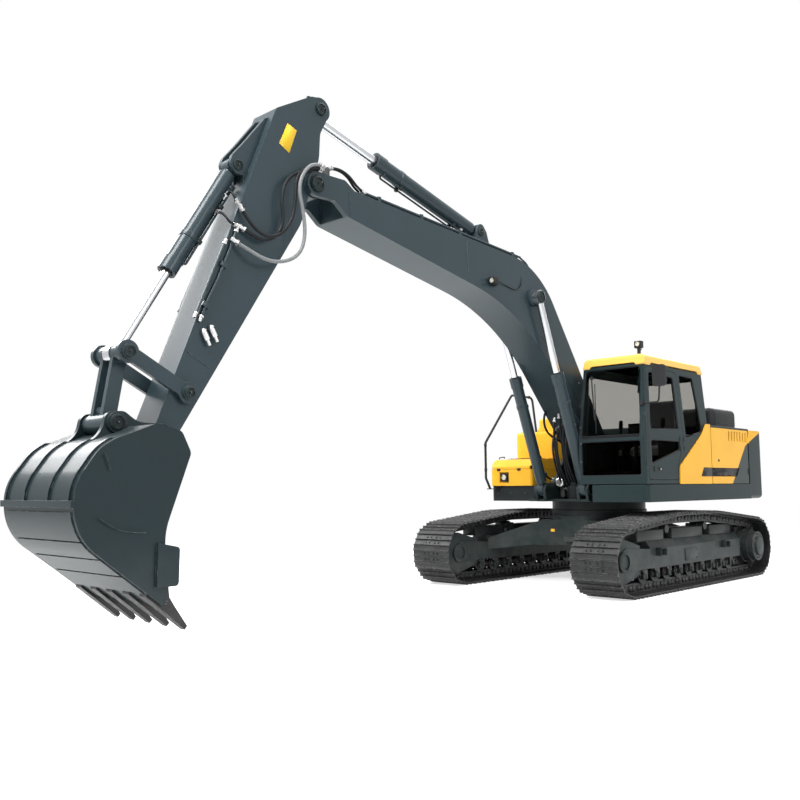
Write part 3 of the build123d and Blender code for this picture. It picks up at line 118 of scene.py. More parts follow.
def see_through_rays(tree):
    """One where the ray comes from the camera, from a polished face or through glass."""
    path = tree.nodes.new("ShaderNodeLightPath").outputs
    seen = math_node(tree, "MAXIMUM", path["Is Camera Ray"], path["Is Glossy Ray"])
    return math_node(tree, "MAXIMUM", seen, path["Is Transmission Ray"])


def add_floor():
    """Pale floor that keeps the machine's shadow and turns white further out."""
    bpy.ops.object.select_all(action="DESELECT")
    bpy.ops.mesh.primitive_plane_add(size=FLOOR_SIZE, location=(0, 0, 0))
    floor = bpy.context.object
    floor.name = "floor"
    material = bpy.data.materials.new("pale_floor")
    material.use_nodes = True
    tree = material.node_tree
    shader = tree.nodes["Principled BSDF"]
    shader.inputs["Base Color"].default_value = FLOOR_COLOUR
    shader.inputs["Roughness"].default_value = 0.9
    shader.inputs["Specular IOR Level"].default_value = 0.1
    shader.inputs["Emission Color"].default_value = WHITE
    seen = see_through_rays(tree)
    tree.links.new(math_node(tree, "MULTIPLY", seen, FLOOR_GLOW), shader.inputs["Emission Strength"])
    distance = tree.nodes.new("ShaderNodeVectorMath")
    distance.operation = "LENGTH"
    tree.links.new(object_coordinates(tree), distance.inputs[0])
    far = remap(tree, distance.outputs["Value"], WHITE_FROM, WHITE_AT)
    mix = tree.nodes.new("ShaderNodeMixShader")
    tree.links.new(math_node(tree, "MULTIPLY", far, seen), mix.inputs[0])
    tree.links.new(shader.outputs[0], mix.inputs[1])
    tree.links.new(tree.nodes.new("ShaderNodeEmission").outputs[0], mix.inputs[2])
    tree.links.new(mix.outputs[0], tree.nodes["Material Output"].inputs["Surface"])
    floor.data.materials.append(material)


def add_surround():
    """White surround, and a soft sky that is brighter overhead."""
    world = bpy.data.worlds.new("studio")
    bpy.context.scene.world = world
    world.use_nodes = True
    tree = world.node_tree
    ambient = tree.nodes["Background"]
    upward = tree.nodes.new("ShaderNodeSeparateXYZ")
    tree.links.new(tree.nodes.new("ShaderNodeTexCoord").outputs["Generated"], upward.inputs[0])
    sky = remap(tree, upward.outputs["Z"], 0.05, 0.7, LOW_SKY, HIGH_SKY)
    tree.links.new(sky, ambient.inputs["Strength"])
    ambient.inputs["Color"].default_value = SKY_COLOUR
    white = tree.nodes.new("ShaderNodeBackground")
    white.inputs["Color"].default_value = WHITE
    mix = tree.nodes.new("ShaderNodeMixShader")
    tree.links.new(see_through_rays(tree), mix.inputs[0])
    tree.links.new(ambient.outputs[0], mix.inputs[1])
    tree.links.new(white.outputs[0], mix.inputs[2])
    tree.links.new(mix.outputs[0], tree.nodes["World Output"].inputs["Surface"])


def add_stage():
    add_floor()
    add_surround()
    for light in LIGHTS:
        add_light(*light)
    bpy.context.scene.view_settings.view_transform = "Standard"


# ============================================================ shared shader groups
def new_group(name, inputs, outputs):
    """Empty shader group with float inputs (name, default) and outputs (name, socket type)."""
    group = bpy.data.node_groups.new(name, "ShaderNodeTree")
    for label, value in inputs:
        socket = group.interface.new_socket(label, in_out="INPUT", socket_type="NodeSocketFloat")
        socket.default_value = value
    for label, kind in outputs:
        group.interface.new_socket(label, in_out="OUTPUT", socket_type=kind)
    source = group.nodes.new("NodeGroupInput")
    sink = group.nodes.new("NodeGroupOutput")
    return group, source, sink


def feed(tree, socket, value):
    """Gives a socket a plain number, a colour or another node's output."""
    if isinstance(value, (int, float)):
        socket.default_value = value
    elif isinstance(value, tuple):
        socket.default_value = (*value, 1)
    else:
        tree.links.new(value, socket)


def math_node(tree, operation, *values, clamp=False):
    """Math node fed by sockets or plain numbers; gives its output socket."""
    node = tree.nodes.new("ShaderNodeMath")
    node.operation = operation
    node.use_clamp = clamp
    for socket, value in zip(node.inputs, values):
        feed(tree, socket, value)
    return node.outputs[0]


def remap(tree, value, low, high, to_low=0.0, to_high=1.0):
    node = tree.nodes.new("ShaderNodeMapRange")
    feed(tree, node.inputs["Value"], value)
    feed(tree, node.inputs["From Min"], low)
    feed(tree, node.inputs["From Max"], high)
    feed(tree, node.inputs["To Min"], to_low)
    feed(tree, node.inputs["To Max"], to_high)
    return node.outputs["Result"]


def noise(tree, vector, scale, detail=4.0, rough=0.55):
    node = tree.nodes.new("ShaderNodeTexNoise")
    feed(tree, node.inputs["Vector"], vector)
    feed(tree, node.inputs["Scale"], scale)
    feed(tree, node.inputs["Detail"], detail)
    feed(tree, node.inputs["Roughness"], rough)
    return node.outputs["Fac"]


def object_coordinates(tree):
    return tree.nodes.new("ShaderNodeTexCoord").outputs["Object"]


def parts_of(tree, vector):
    """X, Y and Z of a vector, as three sockets."""
    node = tree.nodes.new("ShaderNodeSeparateXYZ")
    tree.links.new(vector, node.inputs[0])
    return node.outputs


def mix_colour(tree, share, first, second):
    node = tree.nodes.new("ShaderNodeMix")
    node.data_type = "RGBA"
    for socket, value in zip((node.inputs[0], node.inputs[6], node.inputs[7]), (share, first, second)):
        feed(tree, socket, value)
    return node.outputs[2]


def build_edge_wear():
    """Rounded edge normal, and a broken mask where paint rubs off along edges."""
    group, source, sink = new_group(
        "edge_wear", [("Radius", 0.006), ("Amount", 0.5), ("Scale", 14.0)],
        [("Mask", "NodeSocketFloat"), ("Normal", "NodeSocketVector")])
    bevel = group.nodes.new("ShaderNodeBevel")
    bevel.samples = 4
    group.links.new(source.outputs["Radius"], bevel.inputs["Radius"])
    geometry = group.nodes.new("ShaderNodeNewGeometry")
    dot = group.nodes.new("ShaderNodeVectorMath")
    dot.operation = "DOT_PRODUCT"
    group.links.new(bevel.outputs["Normal"], dot.inputs[0])
    group.links.new(geometry.outputs["Normal"], dot.inputs[1])
    edge = remap(group, dot.outputs["Value"], 0.995, 0.86)
    patches = noise(group, object_coordinates(group), source.outputs["Scale"], 5.0, 0.7)
    broken = remap(group, patches, 0.46, 0.62)
    mask = math_node(group, "MULTIPLY", edge, broken)
    mask = math_node(group, "MULTIPLY", mask, source.outputs["Amount"], clamp=True)
    group.links.new(mask, sink.inputs["Mask"])
    group.links.new(bevel.outputs["Normal"], sink.inputs["Normal"])
    return group


def build_dust():
    """Settled dust: more on faces that look up and near the ground."""
    group, source, sink = new_group(
        "dust_film", [("Amount", 0.3), ("Height", 1.2), ("Scale", 3.0)], [("Mask", "NodeSocketFloat")])
    geometry = group.nodes.new("ShaderNodeNewGeometry")
    up = remap(group, parts_of(group, geometry.outputs["Normal"])["Z"], 0.2, 1.0, 0.0, 0.6)
    coords = object_coordinates(group)
    low = remap(group, parts_of(group, coords)["Z"], source.outputs["Height"], 0.0, 0.0, 1.0)
    patch = remap(group, noise(group, coords, source.outputs["Scale"], 8.0, 0.65), 0.35, 0.75)
    total = math_node(group, "ADD", up, low)
    total = math_node(group, "MULTIPLY", total, patch)
    total = math_node(group, "MULTIPLY", total, source.outputs["Amount"], clamp=True)
    group.links.new(total, sink.inputs["Mask"])
    return group


def build_paint_grain():
    """Orange peel height of sprayed paint, and slow changes of tone over a panel."""
    group, source, sink = new_group(
        "paint_grain", [("Peel Scale", 260.0), ("Tone Scale", 1.6)],
        [("Height", "NodeSocketFloat"), ("Tone", "NodeSocketFloat")])
    coords = object_coordinates(group)
    group.links.new(noise(group, coords, source.outputs["Peel Scale"], 2.0, 0.5), sink.inputs["Height"])
    group.links.new(noise(group, coords, source.outputs["Tone Scale"], 3.0, 0.5), sink.inputs["Tone"])
    return group


GROUPS = {
    "edge": build_edge_wear(),
    "dust": build_dust(),
    "grain": build_paint_grain(),
}


def use_group(tree, key, **values):
    node = tree.nodes.new("ShaderNodeGroup")
    node.node_tree = GROUPS[key]
    for label, value in values.items():
        node.inputs[label.replace("_", " ")].default_value = value
    return node


def start_material(name, metallic=0.0, roughness=0.5, **fixed):
    """New material and its shader, with plain numbers on the shader's own sockets."""
    material = bpy.data.materials.new(name)
    material.use_nodes = True
    tree = material.node_tree
    shader = tree.nodes["Principled BSDF"]
    shader.inputs["Metallic"].default_value = metallic
    shader.inputs["Roughness"].default_value = roughness
    for label, value in fixed.items():
        shader.inputs[label.replace("_", " ")].default_value = value
    return material, tree, shader


def bump_into(tree, shader, height, strength, distance, base_normal=None):
    bump = tree.nodes.new("ShaderNodeBump")
    bump.inputs["Strength"].default_value = strength
    bump.inputs["Distance"].default_value = distance
    tree.links.new(height, bump.inputs["Height"])
    if base_normal is not None:
        tree.links.new(base_normal, bump.inputs["Normal"])
    tree.links.new(bump.outputs["Normal"], shader.inputs["Normal"])


DUST_COLOUR = (0.25, 0.24, 0.22)
FILM_COLOUR = (0.5, 0.5, 0.48)           # dust on glass
PRIMER_COLOUR = (0.16, 0.14, 0.12)
STEEL_COLOUR = (0.42, 0.41, 0.40)
SLATE = (0.024, 0.041, 0.049)
# the bucket's copy of the slate paint, made about half as bright: painted shade on the bucket
SHADED_BUCKET_SLATE = (0.011, 0.022, 0.026)
YELLOW = (0.86, 0.44, 0.028)
CAB_DARK = (0.010, 0.022, 0.024)


def paint_material(name, colour, roughness, wear=0.4, dust=0.3, radius=0.006, dust_height=1.2,
                   colour_mask=None, under=STEEL_COLOUR, coat=0.4):
    """Sprayed paint with orange peel, rubbed edges and settled dust; a mask may bring in a second colour."""
    material, tree, shader = start_material(name, 0.0, roughness, Coat_Weight=coat, Coat_Roughness=0.18,
                                            Specular_IOR_Level=0.12)
    grain = use_group(tree, "grain")
    light = tuple(c * 1.18 for c in colour)
    dark = tuple(c * 0.84 for c in colour)
    base = mix_colour(tree, grain.outputs["Tone"], dark, light)
    if colour_mask is not None:
        share, second = colour_mask(tree)
        base = mix_colour(tree, share, base, second)
    edge = use_group(tree, "edge", Radius=radius, Amount=wear)
    worn = mix_colour(tree, edge.outputs["Mask"], base, under)
    film = use_group(tree, "dust", Amount=dust, Height=dust_height)
    dusty = mix_colour(tree, film.outputs["Mask"], worn, DUST_COLOUR)
    tree.links.new(dusty, shader.inputs["Base Color"])
    rough = math_node(tree, "MULTIPLY_ADD", film.outputs["Mask"], 0.6, roughness)
    tree.links.new(rough, shader.inputs["Roughness"])
    bump_into(tree, shader, grain.outputs["Height"], 0.12, 0.0006, edge.outputs["Normal"])
    return material


def worn_steel(name, colour, bright, roughness, dust=0.5, scale=22.0, radius=0.005, rub=1.0):
    """Bare or blackened steel, rubbed bright on its edges, pitted and dusty; on the track the bright edges
    are also a painted highlight.
    """
    material, tree, shader = start_material(name, 0.55, roughness)
    coords = object_coordinates(tree)
    patch = remap(tree, noise(tree, coords, scale, 8.0, 0.68), 0.38, 0.66)
    base = mix_colour(tree, patch, colour, tuple(c * 1.7 for c in colour))
    edge = use_group(tree, "edge", Radius=radius, Amount=rub, Scale=30.0)
    base = mix_colour(tree, edge.outputs["Mask"], base, bright)
    film = use_group(tree, "dust", Amount=dust, Height=1.0, Scale=6.0)
    base = mix_colour(tree, film.outputs["Mask"], base, DUST_COLOUR)
    tree.links.new(base, shader.inputs["Base Color"])
    rough = remap(tree, patch, 0.0, 1.0, roughness - 0.12, roughness + 0.12)
    tree.links.new(rough, shader.inputs["Roughness"])
    pits = noise(tree, coords, scale * 9, 3.0, 0.6)
    bump_into(tree, shader, pits, 0.25, 0.0015, edge.outputs["Normal"])
    return material


def polished_metal(name, colour, roughness, streaks=0.06):
    """Bright metal with fine turning marks."""
    material, tree, shader = start_material(name, 1.0, roughness)
    marks = noise(tree, object_coordinates(tree), 180.0, 3.0, 0.6)
    tone = mix_colour(tree, marks, tuple(c * 0.86 for c in colour), colour)
    tree.links.new(tone, shader.inputs["Base Color"])
    rough = remap(tree, marks, 0.0, 1.0, roughness - streaks / 2, roughness + streaks)
    tree.links.new(rough, shader.inputs["Roughness"])
    return material


def moulded(name, colour, roughness, grain_scale=420.0, strength=0.25, dust=0.25, shine=0.5):
    """Moulded plastic or rubber with a fine leather-like grain and a little dust."""
    material, tree, shader = start_material(name, 0.0, roughness, Specular_IOR_Level=shine)
    coords = object_coordinates(tree)
    cells = tree.nodes.new("ShaderNodeTexVoronoi")
    cells.inputs["Scale"].default_value = grain_scale
    tree.links.new(coords, cells.inputs["Vector"])
    tone = noise(tree, coords, 5.0, 4.0, 0.6)
    base = mix_colour(tree, tone, tuple(c * 0.8 for c in colour), tuple(min(1, c * 1.3) for c in colour))
    film = use_group(tree, "dust", Amount=dust, Height=0.8)
    dusty = mix_colour(tree, film.outputs["Mask"], base, DUST_COLOUR)
    tree.links.new(dusty, shader.inputs["Base Color"])
    rough = remap(tree, tone, 0.0, 1.0, roughness - 0.06, roughness + 0.08)
    tree.links.new(rough, shader.inputs["Roughness"])
    bump_into(tree, shader, cells.outputs["Distance"], strength, 0.0008)
    return material


def pane(name, colour, roughness=0.0):
    """Tinted glass with hardly any glare and a faint film of dust."""
    material, tree, shader = start_material(name, 0.0, roughness, Transmission_Weight=1.0, IOR=1.01)
    film = use_group(tree, "dust", Amount=0.12, Height=0.6, Scale=9.0)
    tint = mix_colour(tree, film.outputs["Mask"], colour, FILM_COLOUR)
    tree.links.new(tint, shader.inputs["Base Color"])
    return material


def woven(name, colour):
    """Seat cloth: crossing yarns with a soft sheen."""
    material, tree, shader = start_material(name, 0.0, 0.85, Sheen_Weight=0.35, Sheen_Roughness=0.5)
    coords = object_coordinates(tree)
    weave = 0.0
    for direction in ("X", "Y", "Z"):
        wave = tree.nodes.new("ShaderNodeTexWave")
        wave.wave_type = "BANDS"
        wave.bands_direction = direction
        wave.inputs["Scale"].default_value = 110.0
        wave.inputs["Distortion"].default_value = 0.4
        tree.links.new(coords, wave.inputs["Vector"])
        weave = math_node(tree, "MAXIMUM", wave.outputs["Fac"], weave)
    tone = mix_colour(tree, weave, tuple(c * 0.55 for c in colour), tuple(c * 1.5 for c in colour))
    tree.links.new(tone, shader.inputs["Base Color"])
    bump_into(tree, shader, weave, 0.5, 0.0012)
    return material


# the side's dark rear: a point on each of its slanted front edges, metres about the slew axis, and its lean
REAR_EDGES = ((-1.305, 1.274, -0.39), (-1.404, 1.484, -0.40), (-1.53, 1.50, -0.90))
BAND_X, BAND_Z, BAND_LEAN = -1.803, 1.81, -0.38      # lower edge of the yellow band at the rear
BAND_SIDE = 1.0                                      # the band ends this far from the machine's middle


def band_edge(tree, x):
    """Height of the yellow band's lower edge at an x."""
    return math_node(tree, "MULTIPLY_ADD", x, BAND_LEAN, BAND_Z - (BAND_X + SLEW_X) * BAND_LEAN)


def dark_rear(tree):
    """One behind the slanted line where the side turns from yellow to dark, below the yellow band."""
    at = parts_of(tree, object_coordinates(tree))
    share = math_node(tree, "LESS_THAN", at["Z"], band_edge(tree, at["X"]))
    for edge_x, edge_z, lean in REAR_EDGES:
        reach = math_node(tree, "MULTIPLY_ADD", at["Z"], lean, edge_x + SLEW_X - edge_z * lean)
        share = math_node(tree, "MULTIPLY", share, math_node(tree, "LESS_THAN", at["X"], reach))
    return share, CAB_DARK


def yellow_band(tree):
    """Yellow band round the upper corner of the counterweight."""
    at = parts_of(tree, object_coordinates(tree))
    above = math_node(tree, "GREATER_THAN", at["Z"], band_edge(tree, at["X"]))
    side = math_node(tree, "GREATER_THAN", math_node(tree, "ABSOLUTE", at["Y"]), BAND_SIDE)
    return math_node(tree, "MULTIPLY", above, side), YELLOW


MATERIALS = {
    "slate": paint_material("slate_paint", SLATE, 0.5, wear=0.3, dust=0.2, coat=0.38),
    "cab": paint_material("cab_paint", CAB_DARK, 0.5, wear=0.2, dust=0.15, coat=0.2),
    "rear": paint_material("rear_paint", CAB_DARK, 0.5, wear=0.2, dust=0.15,
                           colour_mask=yellow_band, coat=0.2),
    "side": paint_material("side_paint", YELLOW, 0.3, wear=0.12, dust=0.1, coat=0.25,
                           under=PRIMER_COLOUR, colour_mask=dark_rear),
    "decal": paint_material("blank_decal", (0.80, 0.50, 0.02), 0.4, wear=0.0, dust=0.15),
    # the cab's inside finish is darker than its dark plastic would be: painted shade for the dim inside of
    # the cab
    "interior": moulded("cab_trim_and_painted_shade", (0.004, 0.004, 0.0045), 0.85, 300.0, 0.01, 0.0, 0.0),
    "screen": moulded("dark_screen", (0.004, 0.006, 0.008), 0.15, 900.0, 0.02, 0.02),
    "pipe_grey": moulded("sleeved_hose", (0.16, 0.17, 0.17), 0.45, 700.0, 0.3, 0.1),
    "pale_metal": polished_metal("coupling_steel", (0.75, 0.75, 0.74), 0.3, 0.1),
    "mirror": polished_metal("mirror_face", (0.8, 0.82, 0.84), 0.05, 0.01),
    "lamp": moulded("lamp_face", (0.58, 0.55, 0.46), 0.25, 500.0, 0.04, 0.0),
    "frame_dark": paint_material("greased_paint", (0.012, 0.016, 0.017), 0.4, wear=0.5, dust=0.3,
                                 under=PRIMER_COLOUR, coat=0.1),
    "frame": paint_material("frame_paint", (0.015, 0.025, 0.026), 0.5, wear=0.5, dust=0.4,
                            under=PRIMER_COLOUR, coat=0.15),
    "yellow": paint_material("yellow_paint", YELLOW, 0.3, wear=0.12, dust=0.1, coat=0.25,
                             under=PRIMER_COLOUR),
    "roof": paint_material("roof_paint", (0.86, 0.50, 0.10), 0.4, wear=0.1, dust=0.2, under=PRIMER_COLOUR),
    # the bucket's paint is the slate darkened as painted shade
    "bucket": paint_material("bucket_paint_with_painted_shade", SHADED_BUCKET_SLATE, 0.5, wear=0.35, dust=0.2, radius=0.008,
                             dust_height=0.9, coat=0.26),
    # bright edges of the track steel: partly rubbed wear, partly a painted highlight on the grousers
    "track": worn_steel("track_steel", (0.022, 0.023, 0.023), (0.26, 0.25, 0.24), 0.5, dust=0.12,
                        scale=9.0, radius=0.007, rub=1.1),
    "tooth": worn_steel("tooth_steel", (0.02, 0.02, 0.02), (0.3, 0.29, 0.28), 0.5, dust=0.12),
    "chrome": polished_metal("rod_chrome", (0.60, 0.61, 0.63), 0.24),
    "turned": polished_metal("turned_steel", (0.55, 0.55, 0.55), 0.34, 0.12),
    "casting": worn_steel("engine_casting", (0.06, 0.06, 0.06), (0.3, 0.3, 0.3), 0.6),
    "plastic": moulded("black_plastic", (0.014, 0.015, 0.016), 0.5, 420.0, 0.12, 0.12, 0.25),
    "rubber": moulded("hose_rubber", (0.009, 0.010, 0.012), 0.5, 900.0, 0.1, 0.03, 0.2),
    "glass": pane("cab_glass", (0.55, 0.545, 0.525)),
    "lens": pane("lamp_lens", (0.93, 0.95, 0.95), 0.05),
    "cloth": woven("seat_cloth", (0.018, 0.019, 0.022)),
}

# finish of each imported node
NODE_FINISH = {
    "slate": ["boom", "arm", "guide_links", "bucket_link", "boom_barrels", "arm_barrel",
              "bucket_barrel", "boom_pipes"],
    "bucket": ["bucket"],
    "cab": ["cab_shell", "cab_door", "deck_left", "valve_cover", "left_cover",
            "right_cover", "engine_hood", "exhaust_pipe"],
    "frame": ["carbody", "track_frame_left", "track_frame_right", "final_drives", "main_frame"],
    "rear": ["counterweight"],
    "side": ["left_side_door", "right_side_door"],
    "yellow": ["toolbox", "toolbox_lid", "fuel_tank", "hydraulic_tank", "cab_side_cover"],
    "roof": ["cab_roof"],
    "track": ["track_left", "track_right", "front_idlers", "drive_sprockets", "track_rollers_left",
              "track_rollers_right", "carrier_rollers"],
    "tooth": ["bucket_teeth"],
    "chrome": ["boom_rods", "arm_rod", "bucket_rod"],
    "frame_dark": ["deck_right", "slew_ring_lower", "slew_ring_upper", "frame_pins", "boom_pins", "arm_pins"],
    "casting": ["engine_block"],
    "interior": ["seat_base", "control_consoles", "travel_pedals"],
    "plastic": ["intake_hood", "handrails", "mirror_left", "work_lamps"],
    "glass": ["cab_glass", "door_glass"],
    "cloth": ["seat_cushion", "seat_back"],
}


def smooth_cad(obj):
    """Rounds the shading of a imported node's curved faces and keeps its corners sharp."""
    obj.data.polygons.foreach_set("use_smooth", [True] * len(obj.data.polygons))
    weld = obj.modifiers.new("weld", "WELD")
    weld.merge_threshold = 0.00002
    split = obj.modifiers.new("split", "EDGE_SPLIT")
    split.split_angle = math.radians(32)


def finish_nodes():
    for key, names in NODE_FINISH.items():
        for name in names:
            obj = NODES[name]
            obj.data.materials.clear()
            obj.data.materials.append(MATERIALS[key])
            smooth_cad(obj)


# ============================================================ modelling helpers
def select_only(obj):
    bpy.ops.object.select_all(action="DESELECT")
    obj.select_set(True)
    bpy.context.view_layer.objects.active = obj


def settle(obj, name, finish, body, angle=35):
    """Names a finished piece, gives it a finish and smooth round faces, and hangs it on its body; a piece
    between two bodies is only baked in place.
    """
    obj.name = obj.data.name = name
    obj.data.materials.clear()
    obj.data.materials.append(MATERIALS[finish])
    select_only(obj)
    bpy.ops.object.shade_smooth_by_angle(angle=math.radians(angle))
    if isinstance(body, dict):
        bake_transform(obj)
    else:
        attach(obj, body)
    return obj


def pick_faces(obj, wanted):
    """In edit mode, selects the faces for which wanted(centre, normal) holds."""
    bpy.ops.mesh.select_mode(type="FACE")
    bpy.ops.mesh.select_all(action="DESELECT")
    mesh = bmesh.from_edit_mesh(obj.data)
    for face in mesh.faces:
        face.select_set(bool(wanted(face.calc_center_median(), face.normal)))
    bmesh.update_edit_mesh(obj.data)


def facing(axis):
    """Test for faces that look along an axis."""
    return lambda centre, normal: normal[axis] > 0.9


def new_box(size, bevel=0.004):
    """Bevelled box about the origin, left in object mode."""
    bpy.ops.object.select_all(action="DESELECT")
    bpy.ops.mesh.primitive_cube_add(size=1)
    obj = bpy.context.object
    bpy.ops.object.mode_set(mode="EDIT")
    bpy.ops.mesh.select_all(action="SELECT")
    bpy.ops.transform.resize(value=size)
    bpy.ops.mesh.bevel(offset=min(bevel, min(size) * 0.45), segments=2, affect="EDGES")
    bpy.ops.object.mode_set(mode="OBJECT")
    return obj


def new_drum(radius, height, sides=32, bevel=0.003, rim=0.0, sunk=0.0):
    """Round piece standing on the origin along Z, with a bevelled top and maybe a sunk or raised middle."""
    bpy.ops.object.select_all(action="DESELECT")
    bpy.ops.mesh.primitive_cylinder_add(vertices=sides, radius=radius, depth=height)
    obj = bpy.context.object
    bpy.ops.object.mode_set(mode="EDIT")
    bpy.ops.mesh.select_all(action="SELECT")
    bpy.ops.transform.translate(value=(0, 0, height / 2))
    pick_faces(obj, facing(2))
    bpy.ops.mesh.bevel(offset=min(bevel, height * 0.4), segments=2, affect="EDGES")
    if rim:
        pick_faces(obj, lambda c, n: n.z > 0.9 and c.z > height * 0.9)
        bpy.ops.mesh.inset(thickness=rim)
        bpy.ops.mesh.extrude_region_move(TRANSFORM_OT_translate={"value": (0, 0, -sunk)})
        bpy.ops.mesh.bevel(offset=bevel * 0.5, segments=1, affect="EDGES")
    bpy.ops.object.mode_set(mode="OBJECT")
    return obj


def add_drum(obj, radius, height, base, sides=24):
    """Adds a second round stage to a drum, in edit mode, with its top edge bevelled."""
    select_only(obj)
    bpy.ops.object.mode_set(mode="EDIT")
    bpy.ops.mesh.select_all(action="DESELECT")
    bpy.ops.mesh.primitive_cylinder_add(vertices=sides, radius=radius, depth=height,
                                        location=(0, 0, base + height / 2))
    top = base + height
    pick_faces(obj, lambda c, n: n.z > 0.9 and abs(c.z - top) < 1e-4 and c.xy.length < 1e-3)
    bpy.ops.mesh.bevel(offset=min(radius, height) * 0.15, segments=1, affect="EDGES")
    bpy.ops.object.mode_set(mode="OBJECT")
    return obj


def sink_faces(obj, wanted, rim, move):
    """Insets the wanted faces of a piece by a rim and moves them."""
    select_only(obj)
    bpy.ops.object.mode_set(mode="EDIT")
    pick_faces(obj, wanted)
    bpy.ops.mesh.inset(thickness=rim)
    bpy.ops.mesh.extrude_region_move(TRANSFORM_OT_translate={"value": move})
    bpy.ops.object.mode_set(mode="OBJECT")


def frame_at(point, normal, size=1.0):
    """Matrix that stands a piece modelled along Z at a point, along a normal."""
    turn = Vector(normal).to_track_quat("Z", "Y").to_matrix().to_4x4()
    return Matrix.Translation(Vector(point)) @ turn @ Matrix.Scale(size, 4)


def bake(obj, matrix):
    obj.data.transform(matrix)
    return obj


def copied(template, matrices):
    """Copies of a modelled piece, each with its own mesh, joined; the template goes away."""
    made = []
    for matrix in matrices:
        copy = template.copy()
        copy.data = template.data.copy()
        copy.data.transform(matrix)
        bpy.context.scene.collection.objects.link(copy)
        made.append(copy)
    bpy.data.objects.remove(template)
    return joined(made)


def joined(objects):
    bpy.ops.object.select_all(action="DESELECT")
    for obj in objects:
        obj.select_set(True)
    bpy.context.view_layer.objects.active = objects[0]
    if len(objects) > 1:
        bpy.ops.object.join()
    return bpy.context.view_layer.objects.active


def bolt():
    """Hexagon bolt head on its washer, one unit across its flats' circle, along Z."""
    obj = new_drum(1.0, 0.75, sides=6, bevel=0.14)
    return add_drum(obj, 1.45, 0.16, 0.0, sides=14)


def add_bolts(name, places, body, finish="tooth"):
    """Bolt heads, stood by the given matrices."""
    return settle(copied(bolt(), places), name, finish, body)


def ring_places(centre, normal, radius, count, size, start=0.0):
    """Matrices of a ring of pieces round a centre."""
    base = frame_at(centre, normal)
    places = []
    for i in range(count):
        angle = start + 2 * math.pi * i / count
        places.append(base @ Matrix.Translation((radius * math.cos(angle), radius * math.sin(angle), 0))
                      @ Matrix.Scale(size, 4))
    return places


def beside(corner, other, bend):
    """Point a bend's length away from a corner towards another one, but never halfway."""
    way = other - corner
    return corner + way * min(0.45, bend / max(way.length, 1e-6))


def eased(points, bend):
    """Points with two more beside each corner, so that a curve through them bends only there."""
    points = [Vector(p) for p in points]
    out = [points[0]]
    for before, here, after in zip(points, points[1:], points[2:]):
        out += [beside(here, before, bend), here, beside(here, after, bend)]
    out.append(points[-1])
    return out


def swept(name, points, radius, bend=None, sides=3, steps=5):
    """Round bar through the points as a mesh: straight runs with bends, or flowing if no bend is given."""
    places = eased(points, bend) if bend else [Vector(p) for p in points]
    data = bpy.data.curves.new(name, "CURVE")
    data.dimensions = "3D"
    data.bevel_depth = radius
    data.bevel_resolution = sides
    data.resolution_u = steps
    data.use_fill_caps = True
    line = data.splines.new("NURBS")
    line.points.add(len(places) - 1)
    for point, at in zip(line.points, places):
        point.co = (*at, 1)
    line.order_u = 3
    line.use_endpoint_u = True
    obj = bpy.data.objects.new(name, data)
    bpy.context.scene.collection.objects.link(obj)
    select_only(obj)
    bpy.ops.object.convert(target="MESH")
    return bpy.context.object


def tube(name, points, radius, finish, body, bend=None, sides=3):
    """Pipe (with a bend) or hose (without one) as a finished piece on its body, or baked in place where it
    runs between two.
    """
    return settle(swept(name, points, radius, bend, sides), name, finish, body, 60)


def fitting():
    """Crimped hose end with its hexagon nut, along Z, one unit in radius."""
    obj = new_drum(1.25, 3.4, sides=16, bevel=0.2)
    obj = add_drum(obj, 1.55, 0.5, 1.0, sides=16)
    return add_drum(obj, 1.75, 1.3, 3.2, sides=6)


def lying(outline_points, thickness, bevel):
    """Flat plate of an outline in the X-Y plane, from a disc pulled to the outline's corners."""
    bpy.ops.object.select_all(action="DESELECT")
    bpy.ops.mesh.primitive_circle_add(vertices=len(outline_points), radius=1, fill_type="NGON")
    obj = bpy.context.object
    for vertex, corner in zip(obj.data.vertices, outline_points):
        vertex.co = (*corner, 0)
    bpy.ops.object.mode_set(mode="EDIT")
    bpy.ops.mesh.select_all(action="SELECT")
    bpy.ops.mesh.extrude_region_move(TRANSFORM_OT_translate={"value": (0, 0, thickness)})
    bpy.ops.mesh.select_all(action="SELECT")
    bpy.ops.mesh.normals_make_consistent(inside=False)
    bpy.ops.mesh.bevel(offset=bevel, segments=2, affect="EDGES")
    bpy.ops.object.mode_set(mode="OBJECT")
    return obj


# turns a plate that lies in the X-Y plane to stand in the X-Z plane
UPRIGHT = Matrix.Rotation(math.radians(90), 4, "X")


def cap(radius, height):
    """Pin cap: a domed disc with a sunk ring round its middle."""
    return new_drum(radius, height, sides=40, bevel=height * 0.3, rim=radius * 0.28, sunk=height * 0.25)


# ============================================================ undercarriage
SHOE_PLATE_AREA = (0.0160, 0.0172)    # square metres, half of a flat between two grousers
PIN_BELOW_FLAT = 0.057                # chain pins under the shoe's outer flat
RAIL_AT, RAIL_HALF = 0.075, 0.020     # chain rails from the track's middle, and half their width
TRACK_MIDDLE = 1.195
ROLLERS = 9                           # lower rollers on a track
BEAM_FACE = 0.165                     # side of the track frame from the track's middle line


def shoe_flats(node):
    """Centre and normal of each flat between two grousers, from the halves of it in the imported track."""
    source = NODES[node]
    flats = []
    for face in source.data.polygons:
        if abs(face.normal.y) < 0.01 and SHOE_PLATE_AREA[0] < face.area < SHOE_PLATE_AREA[1]:
            centre = source.matrix_world @ face.center
            for i, (other, normal) in enumerate(flats):
                if (other - centre).xz.length < 0.03 and (other.y - centre.y) ** 2 > 0.01:
                    flats[i] = ((other + centre) / 2, normal)
                    break
            else:
                flats.append((centre, face.normal.copy()))
    return flats


